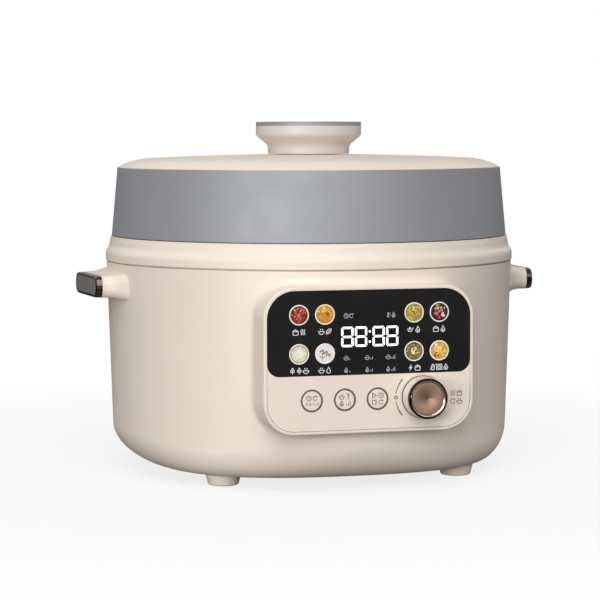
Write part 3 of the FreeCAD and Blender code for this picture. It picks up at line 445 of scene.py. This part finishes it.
# ---------------------------------------------------------------- pictograms
# Each is a list of (points, closed) strokes inside a square from -0.5 to 0.5.
PICTOGRAMS = {
    "pot": [([(-.4, .1), (-.4, -.3), (-.28, -.42), (.28, -.42), (.4, -.3), (.4, .1)], True),
            (arc(0, .1, .4, 0, 180, 8, .2), False), ([(-.08, .42), (.08, .42)], False)],
    "bowl": [([(-.46, .02)] + arc(0, .02, .42, 180, 360, 10)[1:-1] + [(.46, .02)], True),
             ([(-.2, .2), (-.1, .3), (-.2, .42)], False), ([(.12, .2), (.22, .3), (.12, .42)], False)],
    "flame": [([(0, .46), (.2, .16), (.32, -.1), (.24, -.36), (0, -.46), (-.24, -.36), (-.32, -.1),
                (-.16, .02), (-.1, .22)], True), ([(0, -.02), (.08, -.2), (0, -.3), (-.08, -.2)], True)],
    "drop": [([(0, .46)] + arc(0, -.14, .3, 35, -215, 12), True)],
    "grain": [([(0, -.46), (0, .1)], False), (arc(-.17, .0, .12, 0, 360, 8, .2)[:-1], True),
              (arc(.17, .0, .12, 0, 360, 8, .2)[:-1], True), (arc(0, .27, .12, 0, 360, 8, .2)[:-1], True)],
    "steam": [([(x, -.42), (x + .1, -.2), (x - .06, .05), (x + .05, .3), (x, .44)], False)
              for x in (-.26, 0, .26)],
    "clock": [(arc(0, 0, .42, 0, 360, 16)[:-1], True), ([(0, .26), (0, 0), (.2, -.1)], False)],
    "heat": [(arc(0, -.26, .17, 60, -240, 10) + [(-.085, .4), (.085, .4)], True),
             ([(.3, .34), (.44, .34)], False), ([(.3, .12), (.44, .12)], False)],
    "bolt": [([(.12, .46), (-.22, -.02), (0, -.02), (-.12, -.46), (.22, .06), (0, .06)], True)],
    "pan": [([(-.46, .06), (-.34, -.28), (.12, -.28), (.24, .06)], True), ([(.24, .06), (.48, .26)], False),
            (arc(-.12, .22, .1, 0, 360, 6)[:-1], True)],
    "leaf": [([(-.36, -.36), (-.3, .1), (0, .36), (.4, .4), (.34, .02), (.1, -.26)], True),
             ([(-.3, -.3), (.2, .2)], False)],
    "dry": [([(0, .46)] + arc(0, -.14, .3, 35, -215, 12), True), ([(-.42, -.42), (.42, .42)], False)],
    "oven": [([(-.42, -.4), (.42, -.4), (.42, .4), (-.42, .4)], True), ([(-.24, .22), (.24, .22)], False),
             ([(-.24, -.22), (.24, -.22), (.24, .04), (-.24, .04)], True)],
    "play": [([(-.3, -.4), (.38, 0), (-.3, .4)], True)],
    "stop": [([(-.32, -.32), (.32, -.32), (.32, .32), (-.32, .32)], True)],
    "turn": [(arc(0, 0, .36, 60, 330, 12), False), ([(.44, .3), (.18, .31), (.26, .06)], False)],
    "list": [([(-.4, z), (.4, z)], False) for z in (-.3, 0, .3)],
    "spoon": [(arc(0, .26, .14, 0, 360, 8, .2)[:-1], True), ([(0, .06), (0, -.46)], False)],
}
for level in (1, 2, 3):
    PICTOGRAMS["bars%d" % level] = [
        ([(x, -.4), (x, -.4 + .27 * (k + 1))], False) for k, x in enumerate((-.3, 0, .3)[:level])]


def label_row(bm, names, x, z, size, pitch, stroke, y_face=FACE_Y, proud=PRINT_FRONT):
    """A row of pictograms centred on (x, z), printed on the plane y_face."""
    for k, name in enumerate(names):
        place = x + pitch * (k - (len(names) - 1) / 2)
        for points, closed in PICTOGRAMS[name]:
            placed = [(place + size * a, z + size * b) for a, b in points]
            ribbon(bm, placed, stroke, y_face - proud, y_face + PRINT_BACK, closed)


# ---------------------------------------------------------------- display window
DISH_LABELS = ((("pot", "steam"), ("bowl", "leaf"), ("pan", "flame"), ("pot", "flame")),
               (("grain", "grain", "bowl"), ("bowl", "drop"), ("bolt", "pot"), ("dry", "oven", "flame")))
STATUS_LABELS = (
    (STATUS_Z[0], (-1, ("clock", "turn")), (1, ("heat", "flame"))),
    (STATUS_Z[1], (-1, ("bowl", "bars1")), (0, ("bowl", "bars2")), (1, ("bowl", "bars3"))),
    (STATUS_Z[2], (-1, ("flame", "bars1")), (0, ("flame", "bars2")), (1, ("flame", "bars3"))),
)


def window_labels():
    """Pictograms under the menu pictures, and the dimmer ones above and below the digits."""
    bm = bmesh.new()
    for z, row in zip(LABEL_Z, DISH_LABELS):
        for x, names in zip(DISH_X, row):
            label_row(bm, names, x, z, LABEL_H, LABEL_PITCH[len(names)], LABEL_STROKE)
    piece("window_labels", bm, "label", "base")
    bm = bmesh.new()
    for z, *entries in STATUS_LABELS:
        for side, names in entries:
            label_row(bm, names, side * STATUS_X, z, STATUS_H, STATUS_PITCH, STATUS_STROKE)
    piece("window_status_marks", bm, "dim_label", "base")


def digit_segments():
    """Outlines of the seven bars of one digit, about its centre, with mitred ends."""
    w, h = DIGIT_W / 2, DIGIT_H / 2
    t, g = BAR_WIDTH, BAR_GAP
    tip = 0.4 * t
    nick = (BAR_CUT - g) / 2
    inner = w - tip - g
    top = [(-w + BAR_CUT, h), (w - BAR_CUT, h), (w - g - nick, h - nick), (w - t - g, h - t),
           (-w + t + g, h - t), (-w + g + nick, h - nick)]
    mid = [(-inner, 0), (-inner + t / 2, t / 2), (inner - t / 2, t / 2), (inner, 0),
           (inner - t / 2, -t / 2), (-inner + t / 2, -t / 2)]
    side = [(-w, h - BAR_CUT), (-w + nick, h - g - nick), (-w + t, h - t - g), (-w + t, t - tip + g),
            (-w + tip, g), (-w, tip + g)]
    bars = [top, mid, [(x, -z) for x, z in top[::-1]]]
    for fx in (1, -1):
        for fz in (1, -1):
            bars.append([(x * fx, z * fz) for x, z in side])
    return bars


def clock_digits():
    """Four eights and a colon, on a field a little different from the window."""
    bm = bmesh.new()
    for x in DIGIT_X:
        for bar in digit_segments():
            slab(bm, [(x + a, DIGIT_Z + b) for a, b in bar], FACE_Y - PRINT_FRONT, FACE_Y + PRINT_BACK)
    for z in COLON_Z:
        slab(bm, arc(0, z, COLON_R, 0, 360, 16)[:-1], FACE_Y - PRINT_FRONT, FACE_Y + PRINT_BACK)
    piece("clock_digits", bm, "digit", "base")
    bm = bmesh.new()
    half, low, high = FIELD_HALF[0], DIGIT_Z - FIELD_HALF[1], DIGIT_Z + FIELD_HALF[1]
    corners = [(-half, low), (half, low), (half, high), (-half, high)]
    slab(bm, corners, FACE_Y - PRINT_BACK, FACE_Y + PRINT_BACK)
    piece("clock_field", bm, "field", "base")


# Menu pictures: ground colour, then heaps of morsels as
# (count, smallest and largest size, colours, place of the heap, its radius), all in mm.
DISHES = {
    "braised_meat": ((112, 32, 16), [
        (26, 1.5, 2.9, [(196, 88, 58), (160, 60, 36), (176, 74, 46)], (0, 0), 5.2),
        (14, 1.0, 2.0, [(222, 128, 100), (232, 148, 122)], (-0.4, 0.8), 4.2),
        (9, 0.8, 1.5, [(96, 22, 12), (78, 16, 10)], (0.4, -0.6), 4.6)]),
    "soup": ((206, 132, 34), [
        (26, 1.4, 2.8, [(232, 172, 60), (216, 150, 48), (196, 120, 28)], (0, 0), 5.2),
        (8, 1.2, 2.4, [(248, 208, 104), (252, 222, 130)], (-1.2, 2.2), 3.4),
        (9, 0.9, 1.8, [(124, 76, 46), (92, 54, 52), (140, 92, 56)], (0.4, 0), 1.9)]),
    "stir_fry": ((158, 142, 50), [
        (28, 1.2, 2.5, [(190, 190, 72), (150, 154, 44), (206, 196, 96)], (0, 0), 5.2),
        (9, 1.2, 2.2, [(224, 160, 110), (214, 142, 84)], (0.6, -1.2), 4.2),
        (5, 0.9, 1.8, [(156, 46, 30), (170, 66, 40)], (0.6, -0.2), 1.7),
        (6, 1.0, 1.8, [(236, 230, 178), (228, 234, 200)], (0.6, 2.2), 2.6)]),
    "hot_pot": ((40, 30, 28), [
        (12, 1.6, 2.8, [(214, 112, 120), (230, 152, 152), (186, 66, 84)], (-0.8, 0), 3.2),
        (8, 1.3, 2.4, [(206, 172, 84), (226, 190, 110), (110, 140, 56)], (-1.0, 3.2), 2.4),
        (6, 1.2, 2.2, [(228, 232, 196), (240, 238, 214), (122, 132, 82)], (2.8, -1.8), 1.7),
        (4, 1.4, 2.2, [(230, 62, 50), (210, 40, 36)], (0.2, -3.8), 1.2),
        (4, 1.2, 2.0, [(112, 42, 32), (236, 224, 200)], (3.0, 1.4), 1.4)]),
    "rice": ((172, 138, 92), [
        (1, 10.6, 10.8, [(224, 226, 204)], (-0.35, 0.35), 0.01),
        (44, 0.8, 1.6, [(228, 230, 212), (216, 228, 204), (234, 230, 212)], (-0.5, 0.5), 4.4)]),
    "congee": ((228, 224, 230), [
        (7, 1.0, 1.7, [(70, 50, 62), (96, 62, 66), (84, 76, 92)], (-2.2, 0.6), 1.9),
        (6, 1.2, 2.0, [(112, 152, 62), (86, 124, 46), (150, 180, 92)], (0.8, 0.4), 1.3),
        (4, 0.8, 1.3, [(64, 54, 66)], (2.2, -0.4), 1.8),
        (8, 1.0, 1.8, [(212, 160, 142), (196, 138, 116)], (-1.8, -2.4), 1.8),
        (3, 1.0, 1.7, [(206, 146, 122), (188, 120, 96)], (3.4, -1.6), 0.9)]),
    "quick_boil": ((122, 106, 60), [
        (22, 1.2, 2.2, [(172, 150, 96), (150, 134, 76), (206, 178, 126), (104, 88, 50)], (0, 0), 5.2),
        (9, 1.4, 2.6, [(208, 222, 164), (226, 236, 196), (196, 210, 148)], (0.4, 0.2), 2.3),
        (3, 1.2, 1.8, [(204, 72, 46)], (2.4, -2.2), 0.8),
        (5, 1.0, 1.8, [(60, 44, 34)], (0, 5.0), 1.8)]),
    "baked": ((206, 158, 78), [
        (20, 1.8, 3.4, [(228, 188, 92), (238, 206, 122), (214, 164, 72)], (0.4, 0), 5.0),
        (7, 1.6, 2.8, [(244, 224, 164), (236, 214, 150)], (-0.6, 2.6), 2.6),
        (6, 1.2, 2.2, [(176, 98, 48), (150, 70, 38), (112, 46, 26)], (-2.2, -3.2), 1.5),
        (5, 1.2, 2.0, [(196, 176, 156)], (-3.8, 2.6), 1.4)]),
}
DISH_ORDER = (("braised_meat", "soup", "stir_fry", "hot_pot"), ("rice", "congee", "quick_boil", "baked"))


def picture_material():
    """Printed picture: colours from the morsels, with fine speckle."""
    n = Nodes("menu_picture_print")
    tint = n.add("ShaderNodeVertexColor")
    tint.layer_name = "tint"
    speck = n.spread(n.noise(1500.0, 4, 0.7), 0, 1, 0.35, 0.65)
    dark = n.add("ShaderNodeMix", data_type="RGBA", blend_type="MULTIPLY")
    dark.inputs[0].default_value = 1.0
    n.link(tint.outputs["Color"], dark.inputs[6])
    n.link(n.blend(speck, (0.72, 0.70, 0.68), (1.0, 1.0, 1.0)), dark.inputs[7])
    n.link(dark.outputs[2], n.shader.inputs["Base Color"])
    n.link(dark.outputs[2], n.shader.inputs["Emission Color"])
    n.set(Emission_Strength=0.25, Roughness=0.35)
    return n.material


def morsel(bm, layer, rng, x, z, size, colour, level):
    """One flat lump with a lighter crown: irregular, or round when it fills the dish."""
    is_round = size > DISH_R / 2
    count = 28 if is_round else 7
    turn = rng.uniform(0, 2 * pi)
    short = size if is_round else size * rng.uniform(0.55, 0.9)
    rim, crown = [], []
    for k in range(count):
        a = 2 * pi * k / count
        r = 0.5 if is_round else rng.uniform(0.8, 1.15) / 2
        px, pz = size * r * cos(a), short * r * sin(a)
        px, pz = px * cos(turn) - pz * sin(turn), px * sin(turn) + pz * cos(turn)
        rim.append(bm.verts.new((x + px, level, z + pz)))
        crown.append(bm.verts.new((x + px * 0.6, level - 0.05 * MM, z + pz * 0.6)))
    faces = [bm.faces.new(crown)]
    for k in range(count):
        j = (k + 1) % count
        faces.append(bm.faces.new((rim[k], rim[j], crown[j], crown[k])))
    faces.append(bm.faces.new(rim[::-1]))
    for number, face in enumerate(faces):
        light = 1.1 if number == 0 else rng.uniform(0.72, 0.98)
        for loop in face.loops:
            loop[layer] = (*scale_colour(colour, light), 1)


def menu_picture(name, x, z, rng):
    """A round picture of a dish with its pale rim."""
    bm = bmesh.new()
    layer = bm.loops.layers.float_color.new("tint")
    base, groups = DISHES[name]
    disc_r = DISH_R - 0.78 * MM
    ring = arc(x, z, disc_r, 0, 360, 40)[:-1]
    slab(bm, ring, FACE_Y - THIN_FRONT, FACE_Y + PRINT_BACK)
    ground = srgb(*base)
    for face in bm.faces:
        for loop in face.loops:
            loop[layer] = (*ground, 1)
    laid = 0
    for count, small, large, colours, heap, spread in groups:
        for _ in range(count):
            size = rng.uniform(small, large) * MM
            away, a = spread * MM * sqrt(rng.random()), rng.uniform(0, 2 * pi)
            at = Vector((heap[0] * MM + away * cos(a), heap[1] * MM + away * sin(a)))
            room = max(0.01 * MM, disc_r - size * 0.58)
            if at.length > room:
                at *= room / at.length
            level = FACE_Y - THIN_FRONT - MORSEL_STEP * laid
            laid += 1
            morsel(bm, layer, rng, x + at.x, z + at.y, size, srgb(*rng.choice(colours)), level)
    piece("menu_picture_" + name, bm, "picture", "base")
    profile = [(disc_r - 0.05 * MM, FACE_Y + PRINT_BACK), (DISH_R, FACE_Y + PRINT_BACK),
               (DISH_R, FACE_Y - 0.05 * MM), (DISH_R - 0.45 * MM, FACE_Y - 0.14 * MM),
               (disc_r - 0.05 * MM, FACE_Y - 0.06 * MM)]
    turned_piece("menu_rim_" + name, profile, Vector((x, 0, z)), "rim", "base", 48)


def menu_pictures():
    """All eight pictures, laid from one run of random numbers."""
    MATERIALS["picture"] = picture_material()
    MATERIALS["rim"] = lit("menu_rim", srgb(236, 230, 218), 0.2)
    rng = random.Random(11)
    for z, names in zip(DISH_Z, DISH_ORDER):
        for x, name in zip(DISH_X, names):
            menu_picture(name, x, z, rng)


# ---------------------------------------------------------------- keys, gap and dial marks
GAP_HALF = 71.6 * MM            # half width of the gap's outline
GAP_LOW = 44.9 * MM
GAP_CORNER = 19.1 * MM
GAP_TOP = 74.0 * MM
GAP_WIDTH = 0.42 * MM


def panel_gap():
    """Shadow line where the front plate meets the lip, round its lower half."""
    points = [(-GAP_HALF, GAP_TOP)]
    points += arc(-GAP_HALF + GAP_CORNER, GAP_LOW + GAP_CORNER, GAP_CORNER, 180, 270, 12)
    points += arc(GAP_HALF - GAP_CORNER, GAP_LOW + GAP_CORNER, GAP_CORNER, 270, 360, 12)
    points.append((GAP_HALF, GAP_TOP))
    bm = bmesh.new()
    # dark ribbon in the print colour: a painted shadow line along the gap
    ribbon(bm, points, GAP_WIDTH, FACE_Y - THIN_FRONT, FACE_Y + PRINT_BACK)
    piece("panel_gap", bm, "mark", "base")


# rows of pictograms on each key: names, height above the key's middle, size, pitch and stroke in mm
KEY_ROWS = {
    "left": [(("clock", "turn"), 1.8, 3.9, 4.3, 0.42),
             (("heat", "bowl", "bars3", "drop"), -2.1, 2.2, 2.6, 0.24)],
    "middle": [(("bowl", "spoon"), 2.1, 4.1, 4.7, 0.46), (("flame", "bars3"), -2.4, 4.1, 4.7, 0.46)],
    "right": [(("play", "clock"), 2.3, 4.0, 4.7, 0.46), (("stop", "turn"), -2.3, 4.0, 4.7, 0.46)],
}
KEY_PROUD = 0.04 * MM           # how far the marks stand proud of the key


def key_marks():
    """Pictograms printed on the three keys, so that they ride with them."""
    for name, rows in KEY_ROWS.items():
        centre = middle("button_" + name)
        cap_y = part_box("button_" + name)[0][1]
        bm = bmesh.new()
        for names, up, size, pitch, stroke in rows:
            label_row(bm, names, centre.x, centre.z + up * MM, size * MM, pitch * MM, stroke * MM,
                      cap_y, KEY_PROUD)
        piece("key_mark_" + name, bm, "mark", "key_" + name)


SCALE_R = 18.7 * MM             # the dotted scale's distance from the dial's axis
SCALE_TIP = 38.0                # degrees from its middle to each arrow
SCALE_DOTS = 7                  # on each side of the middle
DOT_FROM, DOT_TO = 10.0, 34.0   # degrees from the middle to the first and last dot
DOT_R, DOT_GROWTH = 0.44 * MM, 0.02 * MM
RING_R, RING_STROKE = 1.0 * MM, 0.6 * MM    # the open ring at its middle
SCALE_PROUD = 0.05 * MM
ARROW = ((1.3, 0.0), (-0.7, 1.0), (-0.2, 0.0), (-0.7, -1.0))    # mm along and across the arc
MENU_X = 61.6 * MM
MENU_Z = (67.8 * MM, 62.2 * MM)
MENU_H = 4.3 * MM
MENU_PITCH = 4.8 * MM


def dial_marks():
    """Dotted arc with arrow tips left of the dial, and the menu pictograms right of it."""
    bm = bmesh.new()
    front, back = FACE_Y - SCALE_PROUD, FACE_Y + PRINT_BACK
    axis = Vector((DIAL_AXIS.x, DIAL_AXIS.z))
    for side in (1, -1):
        for k in range(SCALE_DOTS):
            a = radians(180 + side * (DOT_FROM + (DOT_TO - DOT_FROM) * k / (SCALE_DOTS - 1)))
            x, z = axis + SCALE_R * Vector((cos(a), sin(a)))
            slab(bm, arc(x, z, DOT_R + DOT_GROWTH * k, 0, 360, 10)[:-1], front, back)
        tip = radians(180 + side * SCALE_TIP)
        way = Vector((-sin(tip), cos(tip))) * side
        out = Vector((cos(tip), sin(tip)))
        at = axis + SCALE_R * out
        slab(bm, [tuple(at + (a * way + b * out) * MM) for a, b in ARROW], front, back)
    ring = arc(axis.x - SCALE_R, axis.y, RING_R, 0, 360, 20)[:-1]
    ribbon(bm, ring, RING_STROKE, front, back, True)
    piece("dial_scale", bm, "dot", "base")
    bm = bmesh.new()
    for z, names in zip(MENU_Z, (("list", "pot"), ("turn", "bowl"))):
        label_row(bm, names, MENU_X, z, MENU_H, MENU_PITCH, LABEL_STROKE, FACE_Y, SCALE_PROUD)
    piece("menu_marks", bm, "mark", "base")


def dial_pieces():
    """The dial's metal front: dark outer ring, bright bevel, spun face, and a thin ring at its foot."""
    front, back = RIM_LO[1], RIM_HI[1]
    face_r, split = 11.0 * MM, 12.45 * MM       # radii where face, bevel and outer ring meet
    ring = [(split, back), (RIM_R - 0.1 * MM, back), (RIM_R, back - 0.2 * MM), (RIM_R, front + 0.7 * MM),
            (RIM_R - 0.18 * MM, front + 0.25 * MM), (RIM_R - 0.5 * MM, front), (split + 0.15 * MM, front),
            (split, front + 0.15 * MM)]
    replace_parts(turned_piece("dial_front_ring", ring, DIAL_AXIS, "black_chrome", "dial"),
                "dial_rim")
    bevel = [(face_r, back), (split - 0.02 * MM, back), (split - 0.02 * MM, front + 0.2 * MM),
             (split - 0.25 * MM, front + 0.12 * MM), (face_r + 0.2 * MM, front + 1.2 * MM),
             (face_r, front + 1.3 * MM)]
    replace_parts(turned_piece("dial_bevel", bevel, DIAL_AXIS, "chrome", "dial"), "dial_rim")
    level = front + 1.1 * MM
    face = [(0.02 * MM, back), (face_r - 0.02 * MM, back), (face_r - 0.02 * MM, level + 0.35 * MM),
            (face_r - 0.3 * MM, level + 0.3 * MM), (face_r - 0.42 * MM, level + 0.02 * MM),
            (face_r - 0.6 * MM, level), (0.02 * MM, level + 0.12 * MM)]
    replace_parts(turned_piece("dial_spun_face", face, DIAL_AXIS, "bronze", "dial"), "dial_face")
    skirt_lo, skirt_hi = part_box("dial_skirt")
    base_r = (skirt_hi[0] - skirt_lo[0]) / 2
    foot = [(base_r - 0.3 * MM, skirt_hi[1]), (base_r + 0.3 * MM, skirt_hi[1]),
            (base_r + 0.25 * MM, skirt_hi[1] - 0.8 * MM), (base_r - 0.3 * MM, skirt_hi[1] - 1.0 * MM)]
    turned_piece("dial_foot_ring", foot, DIAL_AXIS, "black_chrome", "dial")


# ---------------------------------------------------------------- camera, light, floor
LENS = 131.05                                  # mm, on a sensor 36 mm wide
CAMERA_AT = (-0.4278, -1.5595, 0.2453)
HEADING, TILT, ROLL = radians(15.11), radians(4.385), radians(0.11)


def camera():
    """The photo's viewpoint: looking along +Y, turned right by HEADING and down by TILT."""
    data = bpy.data.cameras.new("camera")
    data.sensor_width = 36.0
    data.lens = LENS
    obj = bpy.data.objects.new("camera", data)
    bpy.context.scene.collection.objects.link(obj)
    ahead = Vector((sin(HEADING) * cos(TILT), cos(HEADING) * cos(TILT), -sin(TILT)))
    right = ahead.cross(Vector((0, 0, 1))).normalized()
    up = right.cross(ahead)
    turned_right = right * cos(ROLL) - up * sin(ROLL)
    turned_up = up * cos(ROLL) + right * sin(ROLL)
    axes = Matrix((turned_right, turned_up, -ahead)).transposed().to_4x4()
    obj.matrix_world = Matrix.Translation(CAMERA_AT) @ axes
    data.clip_start, data.clip_end = 0.05, 60
    bpy.context.scene.camera = obj


FLOOR_BODY = 0.2                              # the floor is a thin translucent sheet over white
FLOOR_R, FLOOR_FADE = 0.8, (0.22, 0.62)       # its radius, and where it thins out, in metres
WORLD_ABOVE, WORLD_BELOW = 0.33, 0.03         # glow of the surroundings about the horizon
BACKDROP = 1.0                                # and of what the camera sees behind the object
AIM = Vector((0, 0, 0.12))                    # what the lights point at
LIGHTS = (                    # name, degrees from the front to the right, degrees up, m away, size, power
    ("key", -20, 25, 2.2, (0.9, 1.4), 16.0),
    ("key_high", -20, 60, 2.2, (1.4, 1.0), 9.6),
    ("key_low", -45, 4, 2.2, (1.0, 0.5), 13.6),
    ("middle", 0, 20, 2.2, (0.9, 1.4), 2.6),
    ("middle_low", -5, 4, 2.2, (1.0, 0.5), 1.5),
    ("fill", 30, 20, 2.4, (0.9, 1.4), 3.2),
    ("side", 95, 15, 2.4, (0.9, 1.4), 3.4),
    ("rear", 180, 35, 2.4, (1.2, 1.2), 3.0),
    ("rear_left", -135, 28, 2.4, (0.9, 1.2), 4.0),
    ("rear_right", 130, 28, 2.4, (0.9, 1.2), 6.0),
)


def soft_light(name, azimuth, elevation, distance, size, power):
    """Rectangular softbox aimed at the middle of the object."""
    a, e = radians(azimuth), radians(elevation)
    way = Vector((sin(a) * cos(e), -cos(a) * cos(e), sin(e)))
    data = bpy.data.lights.new(name, "AREA")
    data.shape = "RECTANGLE"
    data.size, data.size_y = size
    data.energy = power
    obj = bpy.data.objects.new(name, data)
    bpy.context.scene.collection.objects.link(obj)
    obj.location = AIM + way * distance
    obj.rotation_mode = "QUATERNION"
    obj.rotation_quaternion = way.to_track_quat("Z", "Y")
    obj.visible_camera = False


def world():
    """Soft studio surroundings, paler above the horizon; plain white behind the object."""
    tree = bpy.data.worlds.new("studio")
    tree.use_nodes = True
    bpy.context.scene.world = tree
    nodes, links = tree.node_tree.nodes, tree.node_tree.links
    coords = nodes.new("ShaderNodeTexCoord")
    split = nodes.new("ShaderNodeSeparateXYZ")
    links.new(coords.outputs["Generated"], split.inputs[0])
    ramp = nodes.new("ShaderNodeMapRange")
    ramp.inputs["From Min"].default_value = -0.06
    ramp.inputs["From Max"].default_value = 0.06
    ramp.inputs["To Min"].default_value = WORLD_BELOW
    ramp.inputs["To Max"].default_value = WORLD_ABOVE
    links.new(split.outputs["Z"], ramp.inputs["Value"])
    soft = nodes["Background"]
    soft.inputs["Color"].default_value = (1.0, 0.99, 0.98, 1)
    links.new(ramp.outputs["Result"], soft.inputs["Strength"])
    plain = nodes.new("ShaderNodeBackground")
    plain.inputs["Color"].default_value = (1, 1, 1, 1)
    plain.inputs["Strength"].default_value = BACKDROP
    rays = nodes.new("ShaderNodeLightPath")
    mix = nodes.new("ShaderNodeMixShader")
    links.new(rays.outputs["Is Camera Ray"], mix.inputs[0])
    links.new(soft.outputs[0], mix.inputs[1])
    links.new(plain.outputs[0], mix.inputs[2])
    links.new(mix.outputs[0], nodes["World Output"].inputs["Surface"])


def floor():
    """Round sheet of pale paper that thins out into the white surroundings."""
    bm = bmesh.new()
    bmesh.ops.create_circle(bm, cap_ends=True, segments=96, radius=FLOOR_R)
    mesh = bpy.data.meshes.new("floor")
    bm.to_mesh(mesh)
    bm.free()
    obj = bpy.data.objects.new("floor", mesh)
    bpy.context.scene.collection.objects.link(obj)
    n = Nodes("floor_paper")
    grain = n.spread(n.noise(300.0, 3), 0, 1)
    n.link(n.blend(grain, (0.915, 0.915, 0.915), (0.935, 0.935, 0.935)), n.shader.inputs["Base Color"])
    n.set(Roughness=0.8)
    n.shader.inputs["Specular IOR Level"].default_value = 0.1
    length = n.add("ShaderNodeVectorMath", operation="LENGTH")
    n.link(n.coords, length.inputs[0])
    fade = n.add("ShaderNodeMapRange", interpolation_type="SMOOTHSTEP")
    fade.inputs["From Min"].default_value = FLOOR_FADE[0]
    fade.inputs["From Max"].default_value = FLOOR_FADE[1]
    fade.inputs["To Min"].default_value = FLOOR_BODY
    fade.inputs["To Max"].default_value = 0.0
    n.link(length.outputs["Value"], fade.inputs["Value"])
    n.link(fade.outputs["Result"], n.shader.inputs["Alpha"])
    mesh.materials.append(n.material)


def studio():
    """Plain colours, surroundings, floor and lights."""
    scene = bpy.context.scene
    scene.view_settings.view_transform = "Standard"
    scene.view_settings.look = "None"
    world()
    floor()
    for light in LIGHTS:
        soft_light(*light)


paint_nodes()
window_labels()
clock_digits()
menu_pictures()
panel_gap()
key_marks()
dial_marks()
dial_pieces()
camera()
studio()
